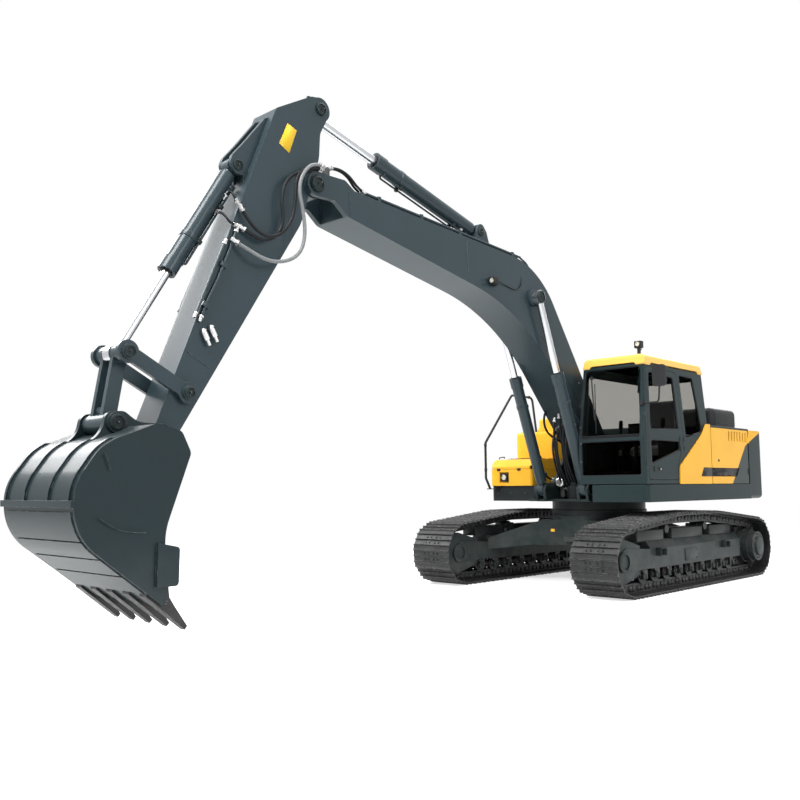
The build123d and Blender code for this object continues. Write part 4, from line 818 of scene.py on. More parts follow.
def track_detail(side, sign):
    """Shoe bolts and the chain's pin ends on one track."""
    bolts, ends = [], []
    flats = shoe_flats("track_" + side)
    for centre, normal in flats:
        middle = Vector((centre.x, sign * TRACK_MIDDLE, centre.z))
        for across_y in (-0.106, -0.044, 0.044, 0.106):
            bolts.append(frame_at(middle + Vector((0, across_y, 0)), normal, 0.011))
        inward = middle - normal * PIN_BELOW_FLAT
        for rail in (-1, 1):
            for face in (-1, 1):
                at = inward + Vector((0, rail * RAIL_AT + face * RAIL_HALF, 0))
                ends.append(frame_at(at, (0, face, 0)))
    add_bolts("shoe_bolts_" + side, bolts, "undercarriage", "frame_dark")
    knuckle = new_drum(0.034, 0.012, sides=16, bevel=0.004)
    knuckle = add_drum(knuckle, 0.018, 0.007, 0.011, sides=12)
    settle(copied(knuckle, ends), "chain_bosses_" + side, "track", "undercarriage")


def roller_detail(side, sign):
    """End caps and bracket bolts of the lower rollers, on both sides of the track."""
    low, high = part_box("track_rollers_" + side)
    start, stop = low.x + 0.045, high.x - 0.045
    caps, bolts = [], []
    axle_z = low.z + 0.091
    for i in range(ROLLERS):
        x = start + (stop - start) * i / (ROLLERS - 1)
        for face in (-1, 1):
            y = sign * TRACK_MIDDLE + face * 0.162
            caps.append(frame_at((x, y, axle_z), (0, face, 0)))
            for dx in (-0.03, 0.03):
                bolts.append(frame_at((x + dx, y, axle_z + 0.062), (0, face, 0), 0.009))
    settle(copied(cap(0.038, 0.018), caps), "roller_caps_" + side, "frame", "undercarriage")
    add_bolts("roller_bolts_" + side, bolts, "undercarriage")


def drive_and_idler_detail(side, sign):
    """Bolt circles and hub cover of the final drive, and the idler's caps, bolts and guide plates."""
    low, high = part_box("drive_sprockets")
    axle = Vector(((low.x + high.x) / 2, 0, (low.z + high.z) / 2))
    hub_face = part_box("final_drives")[1].y
    out = (0, sign, 0)
    bolts = ring_places((axle.x, sign * (hub_face - 0.018), axle.z), out, 0.167, 14, 0.012)
    bolts += ring_places((axle.x, sign * (TRACK_MIDDLE + 0.100), axle.z), out, 0.226, 22, 0.011)
    idler_low, idler_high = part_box("front_idlers")
    hub = Vector(((idler_low.x + idler_high.x) / 2, 0, (idler_low.z + idler_high.z) / 2))
    plates = []
    for face in (-1, 1):
        y = sign * TRACK_MIDDLE + face * BEAM_FACE
        plates.append(frame_at((hub.x, y, hub.z), (0, face, 0)))
        bolts += ring_places((hub.x, y + face * 0.002, hub.z), (0, face, 0), 0.088, 6, 0.011)
    settle(copied(cap(0.115, 0.022), plates), "idler_caps_" + side, "frame", "undercarriage")
    add_bolts("drive_bolts_" + side, bolts, "undercarriage")
    hub_cover = new_drum(0.122, 0.012, 48, 0.004)
    bake(hub_cover, frame_at((axle.x, sign * hub_face, axle.z), out))
    settle(hub_cover, "hub_cover_" + side, "frame", "undercarriage")
    reach = (idler_high.z - idler_low.z) / 2 - 0.005
    angles = [math.pi * i / 12 for i in range(13)]
    outline = [(reach * math.sin(angle), reach * -math.cos(angle)) for angle in angles]
    outline += [(-0.40, reach * 0.62), (-0.40, -reach * 0.62)]
    plates = []
    for face in (-1, 1):
        at = Matrix.Translation((hub.x, sign * TRACK_MIDDLE + face * 0.148 + 0.006, hub.z))
        plates.append(bake(lying(outline, 0.012, 0.004), at @ UPRIGHT))
    settle(joined(plates), "idler_guides_" + side, "frame", "undercarriage")


def frame_side_detail(side, sign):
    """Steps, grease hatch, guards over the beam and a weld seam on the outer side of a track frame."""
    y = sign * (TRACK_MIDDLE + BEAM_FACE)
    low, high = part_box("track_frame_" + side)
    steps = []
    for x in (high.x - 0.95, low.x + 0.95):
        tread_at = Matrix.Translation((x, y + sign * 0.036, 0.52))
        steps.append(bake(new_box((0.16, 0.075, 0.012)), tread_at))
        for dx in (-0.07, 0.07):
            bracket_at = Matrix.Translation((x + dx, y + sign * 0.034, 0.478))
            steps.append(bake(new_box((0.012, 0.07, 0.09)), bracket_at))
    settle(joined(steps), "frame_steps_" + side, "frame", "undercarriage")
    hatch_at = Matrix.Translation((SLEW_X + 0.1, y + sign * 0.005, 0.40))
    hatch = bake(new_box((0.34, 0.012, 0.15), 0.005), hatch_at)
    settle(hatch, "grease_hatch_" + side, "frame", "undercarriage")
    bolts = [frame_at((SLEW_X + 0.1 + dx, y + sign * 0.011, 0.40 + dz), (0, sign, 0), 0.009)
             for dx in (-0.145, 0.145) for dz in (-0.052, 0.052)]
    add_bolts("hatch_bolts_" + side, bolts, "undercarriage")
    guards = [box_at((x1 - x0, 220, 128), ((x0 + x1) / 2, sign * 1195, 668), 12)
              for x0, x1 in ((-1240, -580), (-370, 490), (700, 1360))]
    settle(joined(guards), "frame_guards_" + side, "frame_dark", "undercarriage")
    seam = [(x, y - sign * 0.003, 0.521) for x in (low.x + 0.4, (low.x + high.x) / 2, high.x - 0.68)]
    tube("frame_seam_" + side, seam, 0.006, "frame", "undercarriage", sides=1)


def slew_ring_detail():
    """Bolt circle round the slew bearing."""
    low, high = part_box("slew_ring_lower")
    radius = (high.x - low.x) / 2
    bolts = ring_places((SLEW_X, 0, high.z), (0, 0, 1), radius - 0.012, 44, 0.0085)
    add_bolts("bearing_bolts", bolts, "undercarriage")


def add_undercarriage_detail():
    for side, sign in (("left", 1), ("right", -1)):
        track_detail(side, sign)
        roller_detail(side, sign)
        drive_and_idler_detail(side, sign)
        frame_side_detail(side, sign)
    slew_ring_detail()


# ============================================================ house and cab
SIDE_FACE = 1335                      # outer face of the side doors and the cab, mm


def box_at(size, at, bevel=3, turn=0.0, axis="Y"):
    """Bevelled box, its size and middle in millimetres, turned by degrees about one axis."""
    obj = new_box([s / 1000 for s in size], bevel / 1000)
    return bake(obj, Matrix.Translation(place(*at)) @ Matrix.Rotation(math.radians(turn), 4, axis))


def block(name, size, at, finish, body, bevel=3):
    """Finished box, its size and middle in millimetres."""
    return settle(box_at(size, at, bevel), name, finish, body)


def disc_at(radius, height, at, normal, rim=0.0, sunk=0.0, sides=32):
    obj = new_drum(radius / 1000, height / 1000, sides, min(0.004, height / 4000), rim / 1000, sunk / 1000)
    return bake(obj, frame_at(place(*at), normal))


def bolts_at(name, places, normal, size, body):
    """Bolt heads of one size, in millimetres, on one side of a piece."""
    matrices = [frame_at(place(*at), normal, size / 1000) for at in places]
    return add_bolts(name, matrices, body)


def hose(name, points, radius, body, finish="rubber", ends=True, bend=None):
    """Hose or pipe through points in millimetres, with a crimped fitting at each end."""
    points = [place(*p) for p in points]
    size = radius / 1000
    tube(name, points, size, finish, body, bend / 1000 if bend else None)
    if not ends:
        return
    pairs = [(points[0], points[1]), (points[-1], points[-2])]
    sides = [body["a"], body["b"]] if isinstance(body, dict) else [body, body]
    for label, (at, towards), rides in zip(("start", "end"), pairs, sides):
        piece = bake(fitting(), frame_at(at, towards - at, size))
        settle(piece, name + "_fitting_" + label, "turned", rides)


def across(body_a, body_b, points):
    """The two bodies that a hose runs between, and its first and last points."""
    return {"a": body_a, "b": body_b, "start": place(*points[0]), "end": place(*points[-1])}


def free_mesh(node):
    """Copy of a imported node's mesh, placed as it stands on the machine."""
    source = NODES[node]
    obj = bpy.data.objects.new(node + "_copy", source.data.copy())
    obj.data.transform(source.matrix_world)
    bpy.context.scene.collection.objects.link(obj)
    return obj


def window_seals(node, body, inner):
    """Rubber seal round the outer face of each pane of a node."""
    obj = free_mesh(node)
    select_only(obj)
    bpy.ops.object.mode_set(mode="EDIT")
    bpy.ops.mesh.select_all(action="SELECT")
    bpy.ops.mesh.remove_doubles(threshold=0.0001)
    bpy.ops.mesh.dissolve_limited(angle_limit=math.radians(2))
    pick_faces(obj, lambda c, n: (c - inner).dot(n) < 0.25 or max(map(abs, n)) < 0.9)
    bpy.ops.mesh.delete(type="FACE")
    bpy.ops.mesh.select_all(action="SELECT")
    bpy.ops.mesh.delete(type="ONLY_FACE")
    bpy.ops.object.mode_set(mode="OBJECT")
    select_only(obj)
    bpy.ops.object.convert(target="CURVE")
    obj = bpy.context.object
    obj.data.bevel_depth = 0.013
    obj.data.bevel_resolution = 1
    bpy.ops.object.convert(target="MESH")
    settle(bpy.context.object, node + "_seal", "rubber", body, 60)


def wiper():
    """Wiper at rest along the windshield's boom side: motor cap, arm and blade."""
    arm = box_at((10, 14, 520), (1124, 640, 2330), 2, 3, "X")
    blade = box_at((9, 10, 620), (1121, 668, 2220), 2)
    hub = disc_at(22, 20, (1112, 626, 2600), (1, 0, 0))
    settle(joined([arm, blade, hub]), "wiper", "plastic", "house")


def cab_inside():
    """Monitor, mat, blind, dashboard, trims, levers and armrests inside the cab."""
    # these pieces take the cab's inside finish, whose near-black colour is painted shade
    block("monitor_case", (26, 210, 170), (960, 1130, 1930), "interior", "house", 8)
    block("monitor_face", (3, 180, 130), (945, 1130, 1935), "screen", "house", 1)
    block("monitor_post", (30, 40, 560), (985, 1130, 1590), "interior", "house", 6)
    block("floor_mat", (1420, 800, 8), (230, 870, 1318), "interior", "house")
    block("roof_blind", (760, 640, 14), (250, 850, 2752), "interior", "house", 4)
    block("dash_bar", (60, 700, 60), (1030, 870, 1400), "interior", "house", 12)
    block("trim_right", (1500, 8, 560), (250, 462, 1600), "interior", "house")
    block("trim_rear", (8, 800, 620), (-562, 870, 1630), "interior", "house")
    block("trim_left", (560, 8, 420), (-280, 1283, 1540), "interior", "house")
    knobs, rests, boots = [], [], []
    for y in (577, 1171):
        knob = new_drum(0.026, 0.105, 16, 0.016, 0.006, 0.004)
        knobs.append(bake(knob, frame_at(place(350, y, 2005), (-0.12, 0, 1))))
        rests.append(box_at((300, 92, 46), (60, y, 1905), 18))
        rests.append(box_at((26, 40, 90), (60, y, 1850), 4))
        boots.append(bake(new_drum(0.046, 0.075, 20, 0.02), frame_at(place(350, y, 1830), (0, 0, 1))))
    settle(joined(knobs), "lever_knobs", "interior", "house")
    settle(joined(rests), "armrests", "interior", "house")
    settle(joined(boots), "lever_boots", "interior", "house")
    for i, y in enumerate((794, 955)):
        lever = [(700, y, 1360), (760, y, 1480), (770, y, 1640)]
        hose("travel_lever_%d" % i, lever, 10, "house", "interior", ends=False, bend=60)
        grip = bake(new_drum(0.02, 0.07, 14, 0.008), frame_at(place(770, y, 1635), (0, 0, 1)))
        settle(grip, "travel_grip_%d" % i, "plastic", "house")


def cushions():
    """Sewn seat cushions, puffed by the cloth solver from the plain packed blocks."""
    for node, size, at, turn in (
            ("seat_cushion", (470, 450, 110), (50, 875, 1702), 0),
            ("seat_back", (120, 450, 620), (-180, 875, 2077), -9)):
        obj = box_at(size, at, 24, turn)
        select_only(obj)
        remesh = obj.modifiers.new("remesh", "REMESH")
        remesh.mode = "VOXEL"
        remesh.voxel_size = 0.012
        bpy.ops.object.modifier_apply(modifier="remesh")
        puff(obj)
        settle(obj, "sewn_" + node, "cloth", "house", 60)
        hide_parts(node)
        front = at[0] + (size[0] / 2 - 8) * math.cos(math.radians(turn))
        half = size[1] / 2 - 10
        stitch = [place(front, at[1] + y, at[2]) for y in (-half, half)]
        tube("seam_" + node, stitch, 0.004, "cloth", "house", sides=1)


PUFF_FRAMES = 20
PUFF_MOST = 0.014                     # farthest that a cushion's face swells, m


def puff(obj):
    """Lets the shell swell under pressure for a few frames and keeps the shape."""
    cloth = obj.modifiers.new("puff", "CLOTH")
    cloth.settings.use_pressure = True
    cloth.settings.uniform_pressure_force = 4
    cloth.settings.effector_weights.gravity = 0
    cloth.point_cache.frame_start = 1
    cloth.point_cache.frame_end = PUFF_FRAMES
    before = [v.co.copy() for v in obj.data.vertices]
    for step in range(1, PUFF_FRAMES + 1):
        bpy.context.scene.frame_set(step)
    select_only(obj)
    bpy.ops.object.modifier_apply(modifier="puff")
    bpy.context.scene.frame_set(1)
    for vertex, start in zip(obj.data.vertices, before):
        way = vertex.co - start
        if way.length > PUFF_MOST:
            vertex.co = start + way.normalized() * PUFF_MOST


def lamp(name, at, size, normal, body):
    """Square work lamp: a dark frame with a round bright face sunk into it."""
    turn = frame_at(place(*at), normal)
    wide = size / 1000
    case = new_box((wide, wide, 0.012), 0.004)
    sink_faces(case, lambda c, n: n.z > 0.9 and c.z > 0.005, wide * 0.08, (0, 0, -0.007))
    settle(bake(case, turn), name + "_case", "plastic", body)
    glow = new_drum(wide * 0.36, 0.008, 32, 0.003, wide * 0.07, 0.004)
    settle(bake(glow, turn @ Matrix.Translation((0, 0, 0.0005))), name + "_face", "lamp", body)


def side_fittings():
    """Louvre slats and locks of the side doors, and the linings of the left side's slot."""
    for side, sign, lock_x in (("left", 1, -895), ("right", -1, -1260)):
        slats = [box_at((720, 6, 150), (-1563, sign * 1301, 1933), 2)]
        for i in range(7):
            slats.append(box_at((30, 4, 140), (-1821 + 94 * i, sign * 1309, 1933), 1, sign * 24, "Z"))
        settle(joined(slats), "louvre_slats_" + side, "plastic", side + "_door")
        lock = disc_at(17, 7, (lock_x, sign * SIDE_FACE, 1588), (0, sign, 0), 5, 3)
        keyway = box_at((9, 5, 26), (lock_x, sign * (SIDE_FACE + 6), 1588), 1)
        settle(joined([lock, keyway]), "door_lock_" + side, "plastic", side + "_door")
    front_slot = [(-0.316, 1.374), (-0.404, 1.488), (-0.638, 1.488), (-0.638, 1.374)]
    rear_slot = [(-0.694, 1.374), (-0.694, 1.488), (-1.576, 1.488), (-1.478, 1.374)]
    linings = (("front", "house", 1350.2, front_slot), ("rear", "left_door", 1325.2, rear_slot))
    for name, body, face, corners in linings:
        slab = lying(corners, 0.0014, 0.0003)
        bake(slab, Matrix.Translation((SLEW_X, face / 1000 + 0.0014, 0)) @ UPRIGHT)
        settle(slab, "slot_lining_" + name, "frame_dark", body)


def door_fittings():
    """Handle, lock and grab bar of the cab door, the grab rail beside it and the pillar's bolts."""
    pull = box_at((150, 10, 60), (868, 1338, 1457), 4)
    sink_faces(pull, facing(1), 0.009, (0, -0.006, 0))
    settle(pull, "door_handle", "plastic", "door")
    settle(disc_at(13, 6, (770, 1336, 1457), (0, 1, 0), 4, 2), "door_lock", "turned", "door")
    bar = [(955, 1304, 2000), (955, 1304, 1960), (955, 1304, 1600), (955, 1304, 1560)]
    hose("door_grab_bar", bar, 9, "door", "plastic", ends=False)
    grab = [(1112, 1325, 1500), (1128, 1340, 1520), (1128, 1340, 2100), (1112, 1325, 2120)]
    hose("cab_grab_rail", grab, 11, "house", "plastic", ends=False, bend=30)
    pillar = [(1117, 440, z) for z in (1560, 1790, 1990, 2260, 2560)]
    bolts_at("cab_pillar_bolts", pillar, (1, 0, 0), 9, "house")


def toolbox_fittings():
    """Latches, grip and tread of the toolbox lid, and the studs, caps and gauge of the tanks."""
    latches = []
    for y in (-1180, -830):
        latches.append(box_at((8, 60, 34), (693, y, 1497), 3))
        latches.append(disc_at(9, 8, (695, y, 1486), (1, 0, 0)))
    settle(joined(latches), "toolbox_latches", "plastic", "lid")
    grip = [(560, -1260, 1650), (560, -1260, 1672), (440, -1260, 1684), (440, -1260, 1662)]
    hose("lid_grip", grip, 7, "lid", "plastic", ends=False, bend=12)
    treads = [box_at((130, 560, 4), (320, -960, 1655), 1)]
    for i in range(6):
        for j in range(3):
            treads.append(disc_at(9, 5, (275 + 45 * j, -1190 + 92 * i, 1657), (0, 0, 1), 3, 3, 12))
    settle(joined(treads), "lid_tread", "plastic", "lid")
    pads = []
    # first stud of each field, its studs along X and Y, and its height
    fields = ((-330, -1270, 5, 3, 2050), (-1000, -1250, 6, 6, 2150), (-1080, -560, 8, 10, 1960))
    for x0, y0, rows, columns, z in fields:
        for i in range(rows):
            for j in range(columns):
                pads.append(frame_at(place(x0 + 76 * i, y0 + 84 * j, z), (0, 0, 1)))
    stud = new_drum(0.012, 0.007, 10, 0.002, 0.004, 0.003)
    settle(copied(stud, pads), "roof_studs", "plastic", "house")
    cap_piece = disc_at(52, 36, (-120, -790, 2268), (0, 0, 1), 14, 8, 24)
    settle(cap_piece, "fuel_cap", "plastic", "house")
    gauge = box_at((6, 26, 300), (82, -1000, 1860), 2)
    settle(gauge, "fuel_gauge", "lens", "house")
    filler = disc_at(60, 26, (-790, -980, 2148), (0, 0, 1), 14, 6, 24)
    settle(filler, "oil_filter_cover", "yellow", "house")
    circle = [(-790 + 46 * math.cos(a), -980 + 46 * math.sin(a), 2172)
              for a in (0, 1.05, 2.1, 3.15, 4.2, 5.25)]
    bolts_at("tank_bolts", circle, (0, 0, 1), 7, "house")


def deck_fittings():
    """Deck edge bolts, front reflector, and the swing motor, manifold and rotor between the boom's feet."""
    bolts_at("deck_bolts", [(662, y, 1165) for y in (-1220, -980, -740)], (1, 0, 0), 10, "house")
    block("front_reflector", (8, 60, 34), (1164, 22, 700), "yellow", "undercarriage")
    motor = new_drum(0.105, 0.18, 32, 0.012, 0.03, 0.01)
    motor = add_drum(motor, 0.07, 0.07, 0.17, 24)
    settle(bake(motor, frame_at(place(610, 20, 1075), (0, 0, 1))), "swing_motor", "frame_dark", "house")
    manifold = [box_at((150, 300, 120), (470, -60, 1180), 8), box_at((90, 90, 150), (480, 120, 1210), 6)]
    settle(joined(manifold), "foot_manifold", "casting", "house")
    settle(disc_at(60, 36, (652, -175, 1312), (1, 0, 0), 12, 8), "rotor_cover", "pale_metal", "house")
    block("rotor_bracket", (60, 90, 60), (625, -175, 1312), "casting", "house", 8)
    block("rotor_post", (40, 60, 190), (600, -175, 1205), "casting", "house", 6)


def roof_fittings():
    """Lamps, aerial foot, intake mesh and fins, hood grips, mirror face and handrail clamps."""
    lamp("roof_lamp", (868, 1135, 3005), 76, (1, 0, 0), "house")
    lamp("head_lamp", (695, -1085, 1388), 104, (1, 0, 0), "house")
    lead = [(800, 1135, 3000), (770, 1150, 2985), (765, 1120, 2935), (760, 1080, 2888)]
    hose("roof_lamp_lead", lead, 5, "house", ends=False)
    settle(disc_at(16, 22, (150, 560, 2886), (0, 0, 1)), "aerial_foot", "plastic", "house")
    bars = []
    for i in range(14):
        bars.append(box_at((4, 400, 4), (-1760 + 54 * i, 975, 2321), 1))
    for i in range(6):
        bars.append(box_at((730, 4, 4), (-1410, 800 + 70 * i, 2323), 1))
    settle(joined(bars), "intake_mesh", "plastic", "house")
    fins = [box_at((660, 5, 9), (-1410, 1231, 2110 + 24 * i), 2) for i in range(6)]
    settle(joined(fins), "intake_fins", "plastic", "house")
    for i, y in enumerate((-620, 300)):
        grip = [(-1870, y - 60, 2062), (-1870, y - 60, 2095), (-1870, y + 60, 2095), (-1870, y + 60, 2062)]
        hose("hood_grip_%d" % i, grip, 8, "hood", "plastic", ends=False, bend=16)
    latch = [box_at((70, 40, 12), (-1225, y, 2064), 4) for y in (-640, 380)]
    settle(joined(latch), "hood_latches", "plastic", "hood")
    bolts_at("counterweight_bolts", [(-2200, y, 2041) for y in (-520, 520)], (0, 0, 1), 34, "house")
    block("mirror_face", (3, 136, 220), (1001, 1485, 2570), "mirror", "house", 1)
    rail_feet = ((795, -1328, 1500), (795, -1328, 1850), (-300, -1328, 2610))
    clamps = [box_at((34, 30, 44), at, 5) for at in rail_feet]
    settle(joined(clamps), "handrail_clamps", "plastic", "house")


def foot_hoses():
    """Hoses that loop from the house to the boom at its foot, and down to the cylinders."""
    for i in range(8):
        y = -150 + 43 * i
        out, rise = 26 * (i % 3), 45 * (i * 3 % 5)
        points = [(545, y, 1215), (610, y, 1245), (690, y * 1.05, 1330), (800 + out, y * 1.1, 1560),
                  (850 + out, y * 1.1, 1800 + rise), (800 + rise * 0.5, y, 1985 + rise),
                  (730 + rise * 0.9, y, 2030 + rise)]
        hose("foot_hose_%d" % i, points, 14, across("house", "boom", points))
    loop = [(800, -195, 2372), (900, -200, 2300), (985, -205, 2150), (930, -205, 1985), (720, -205, 1890),
            (560, -200, 1860), (500, -190, 1700), (500, -180, 1400), (500, -170, 1235)]
    hose("foot_loop", loop, 15, across("boom", "house", loop))
    for side, sign in (("left", 1), ("right", -1)):
        low = [(590, sign * 300, 1350), (660, sign * 321, 1352), (780, sign * 321, 1390),
               on_line("boom_base", "boom_rod", 285, 74, sign * 321)]
        hose("cylinder_hose_low_" + side, low, 13, across("house", "boom_barrels", low))
        block("port_block_" + side, (60, 44, 60), (562, sign * 298, 1350), "casting", "house", 6)


def add_house_detail():
    middle = place(250, 880, 2050)
    window_seals("cab_glass", "house", middle)
    window_seals("door_glass", "door", middle)
    wiper()
    cab_inside()
    cushions()
    side_fittings()
    door_fittings()
    toolbox_fittings()
    deck_fittings()
    roof_fittings()
    foot_hoses()


# ============================================================ boom, arm and bucket
BOOM_SIDE, ARM_SIDE = 230, 170        # side faces of the boom and the arm, mm
# X and Z of each pin, mm about the slew axis
GEAR_PINS = {
    "foot": (200, 1720), "arm": (5326, 4157), "boom_base": (850, 1220), "boom_rod": (1800, 3580),
    "arm_base": (2640, 4275), "arm_rod": (5230, 4945), "bucket_base": (6150, 4160), "guide": (6705, 2050),
    "link": (7251, 2335), "bucket": (6895, 1679), "bucket_link": (7345, 1775),
}


def on_line(start, end, reach, off, y):
    """Point at a reach along a line between two pins and some way above it, in millimetres."""
    (ax, az), (bx, bz) = GEAR_PINS[start], GEAR_PINS[end]
    length = math.hypot(bx - ax, bz - az)
    dx, dz = (bx - ax) / length, (bz - az) / length
    return (ax + dx * reach - dz * off, y, az + dz * reach + dx * off)


def heading(start, end):
    """Direction from one pin to another."""
    return place(*on_line(start, end, 1, 0, 0)) - place(*on_line(start, end, 0, 0, 0))


def pin_cap(name, pin_name, y, radius, body, count):
    """Cap on both ends of a pin with its bolts and a grease nipple."""
    x, z = GEAR_PINS[pin_name]
    caps, bolts, nipples = [], [], []
    for sign in (-1, 1):
        caps.append(frame_at(place(x, sign * (y - 2), z), (0, sign, 0)))
        bolts += ring_places(place(x, sign * (y + 9), z), (0, sign, 0), radius * 0.00072, count,
                             radius * 0.00012, 0.5)
        nipples.append(frame_at(place(x, sign * (y + 8), z), (0, sign, 0)))
    settle(copied(cap(radius / 1000, 0.014), caps), name + "_caps", "frame", body)
    add_bolts(name + "_bolts", bolts, body)
    nipple = add_drum(new_drum(0.008, 0.014, 8, 0.002), 0.004, 0.01, 0.013, 8)
    settle(copied(nipple, nipples), name + "_nipples", "tooth", body)


def seams(name, runs, finish, body, radius):
    """Weld beads along the given lines, in millimetres."""
    beads = []
    for i, points in enumerate(runs):
        line = [place(*p) for p in points]
        beads.append(swept("%s_%d" % (name, i), line, radius / 1000, sides=1, steps=2))
    settle(joined(beads), name, finish, body)


# name and pin of each pair of caps, distance of the caps from the middle, cap radius in mm, body, bolts
PIN_CAPS = (
    ("foot_pin", "foot", 276, 92, "house", 3),
    ("boom_base_pin", "boom_base", 404, 78, "house", 3),
    ("boom_rod_pin", "boom_rod", 364, 78, "boom", 3),
    ("arm_pin", "arm", 244, 76, "boom", 4),
    ("arm_base_pin", "arm_base", 101, 52, "boom", 3),
    ("arm_rod_pin", "arm_rod", 182, 62, "arm", 3),
    ("bucket_base_pin", "bucket_base", 96, 52, "arm", 3),
    ("guide_pin", "guide", 237, 52, "guide_links", 3),
    ("link_pin", "link", 237, 52, "guide_links", 3),
    ("bucket_pin", "bucket", 246, 66, "bucket", 3),
    ("bucket_link_pin", "bucket_link", 246, 66, "bucket", 3),
)


# pins at a cylinder's base and rod end, and its barrel's body; radius and length of the barrel, radius of the
# rod, height of the pipes over the axis; sides of the two pipes and of the cylinders themselves, mm
CYLINDERS = (
    ("boom_base", "boom_rod", "boom_barrels", 73, 1560, 43, 96, (-321, 321), (-321, 321)),
    ("arm_base", "arm_rod", "arm_barrel", 88, 1750, 50, -112, (-34, 34), (0,)),
    ("bucket_base", "link", "bucket_barrel", 73, 1260, 43, -96, (-30, 30), (0,)),
)


def barrel_fittings(i, axis_y, base, rod, body, outer, barrel, off):
    """Gland bolts, port block and clamp band of one barrel."""
    direction = heading(base, rod)
    gland = place(*on_line(base, rod, barrel - 2, 0, axis_y))
    matrices = ring_places(gland, direction, (outer - 10) / 1000, 10, 0.0075)
    add_bolts("%s_gland_bolts_%d" % (body, i), matrices, body)
    port = new_box((0.07, 0.07, 0.05), 0.006)
    at = place(*on_line(base, rod, 175, math.copysign(outer + 14, off), axis_y))
    settle(bake(port, frame_at(at, direction)), "%s_port_%d" % (body, i), "slate", body)
    band = new_drum((outer + 6) / 1000, 0.05, 40, 0.004, 0.012, 0.002)
    at = place(*on_line(base, rod, barrel - 420, 0, axis_y))
    settle(bake(band, frame_at(at, direction)), "%s_band_%d" % (body, i), "slate", body)


def cylinder_lines():
    """Pipes, clamps, barrel fittings and wiper rings of the four cylinders."""
    for base, rod, body, outer, barrel, shaft, off, pipe_sides, sides in CYLINDERS:
        clamps = []
        for i, y in enumerate(pipe_sides):
            run = [on_line(base, rod, reach, rise, y) for reach, rise in
                   ((250, off), (barrel - 250, off), (barrel - 165, off), (barrel - 150, off * 0.7))]
            hose("%s_pipe_%d" % (body, i), run, 11, body, "slate", ends=False, bend=40)
            for reach in (420, barrel - 420):
                at = place(*on_line(base, rod, reach, off * 0.95, y))
                clamps.append(bake(new_box((0.034, 0.052, 0.04), 0.005), frame_at(at, heading(base, rod))))
            if i < len(sides):
                barrel_fittings(i, sides[i], base, rod, body, outer, barrel, off)
        settle(joined(clamps), body + "_clamps", "frame", body)
    for base, rod, body, outer, barrel, shaft, off, pipe_sides, sides in CYLINDERS:
        for y in sides:
            ring = new_drum((shaft + 14) / 1000, 0.014, 36, 0.004)
            at = place(*on_line(base, rod, barrel - 1, 0, y))
            bake(ring, frame_at(at, heading(base, rod)))
            settle(ring, "%s_wiper_ring_%d" % (rod, y > 0), "rubber", body)


def boom_detail():
    """Pipes down the boom's back, their clamps, the weld seams and the lamp with its lead."""
    for i, y in enumerate((-150, -100, 100, 150)):
        back = [(1980, y * 1.2, 4075), (1820, y * 1.1, 4030), (1500, y, 3745), (1150, y, 3330),
                (820, y, 2920)]
        hose("boom_back_pipe_%d" % i, back, 12, "boom", "slate", ends=False, bend=120)
    for name, x, z, turn in (("low", 1000, 3085, -51), ("high", 1560, 3800, -45)):
        clamps = [box_at((44, 130, 40), (x, sign * 125, z), 5, turn) for sign in (-1, 1)]
        settle(joined(clamps), "pipe_clamps_" + name, "slate", "boom")
    runs = [[(x, s * (BOOM_SIDE + 1), z0), (x + 30, s * (BOOM_SIDE + 1), z1)]
            for s in (-1, 1) for x, z0, z1 in ((3050, 3705, 4095), (4890, 3925, 4215), (1450, 2945, 3740))]
    seams("boom_seams", runs, "slate", "boom", 4)
    edge = ((430, 1930), (1100, 2745), (1600, 3115))
    edges = [[(x, s * BOOM_SIDE, z) for x, z in edge] for s in (-1, 1)]
    seams("boom_edge_seams", edges, "slate", "boom", 4)
    block("boom_lamp_bracket", (60, 40, 90), (2590, 250, 3650), "plastic", "boom", 5)
    block("boom_lamp_body", (84, 90, 84), (2650, 290, 3650), "plastic", "boom", 8)
    lamp("boom_lamp", (2694, 290, 3650), 76, (1, 0, -0.15), "boom")
    lead = [(2600, 265, 3680), (2299, 238, 3640), (2120, 236, 3620), (2000, 236, 3760), (2040, 200, 4010)]
    hose("boom_lamp_lead", lead, 6, "boom", ends=False)


# hoses that hang beside the arm's head: radius, finish, and the points they pass, mm about the slew axis
ARM_LOOPS = {
    "arm_loop_grey": (17, "pipe_grey", (
        (5235, 222, 4350), (5405, 290, 4330), (5560, 318, 4210), (5635, 320, 4020), (5575, 320, 3820),
        (5545, 320, 3600), (5600, 320, 3410), (5760, 318, 3300), (5960, 300, 3270), (6140, 262, 3340),
        (6296, 205, 3431))),
    "arm_loop_upper": (16, "rubber", (
        (5240, 215, 4325), (5420, 260, 4300), (5620, 282, 4170), (5632, 282, 3960), (5660, 282, 3740),
        (5780, 282, 3560), (5960, 275, 3490), (6120, 240, 3590), (6205, 195, 3760))),
    "arm_loop_inner": (16, "rubber", (
        (5240, 200, 4305), (5480, 235, 4260), (5720, 242, 4110), (5770, 242, 3880), (5742, 242, 3700),
        (5800, 240, 3555), (5960, 235, 3460), (6120, 215, 3520), (6210, 190, 3570))),
    "arm_loop_right": (16, "rubber", (
        (5240, -215, 4325), (5430, -262, 4300), (5630, -282, 4160), (5660, -282, 3900), (5740, -282, 3640),
        (5900, -275, 3500), (6060, -240, 3480), (6200, -200, 3500))),
}


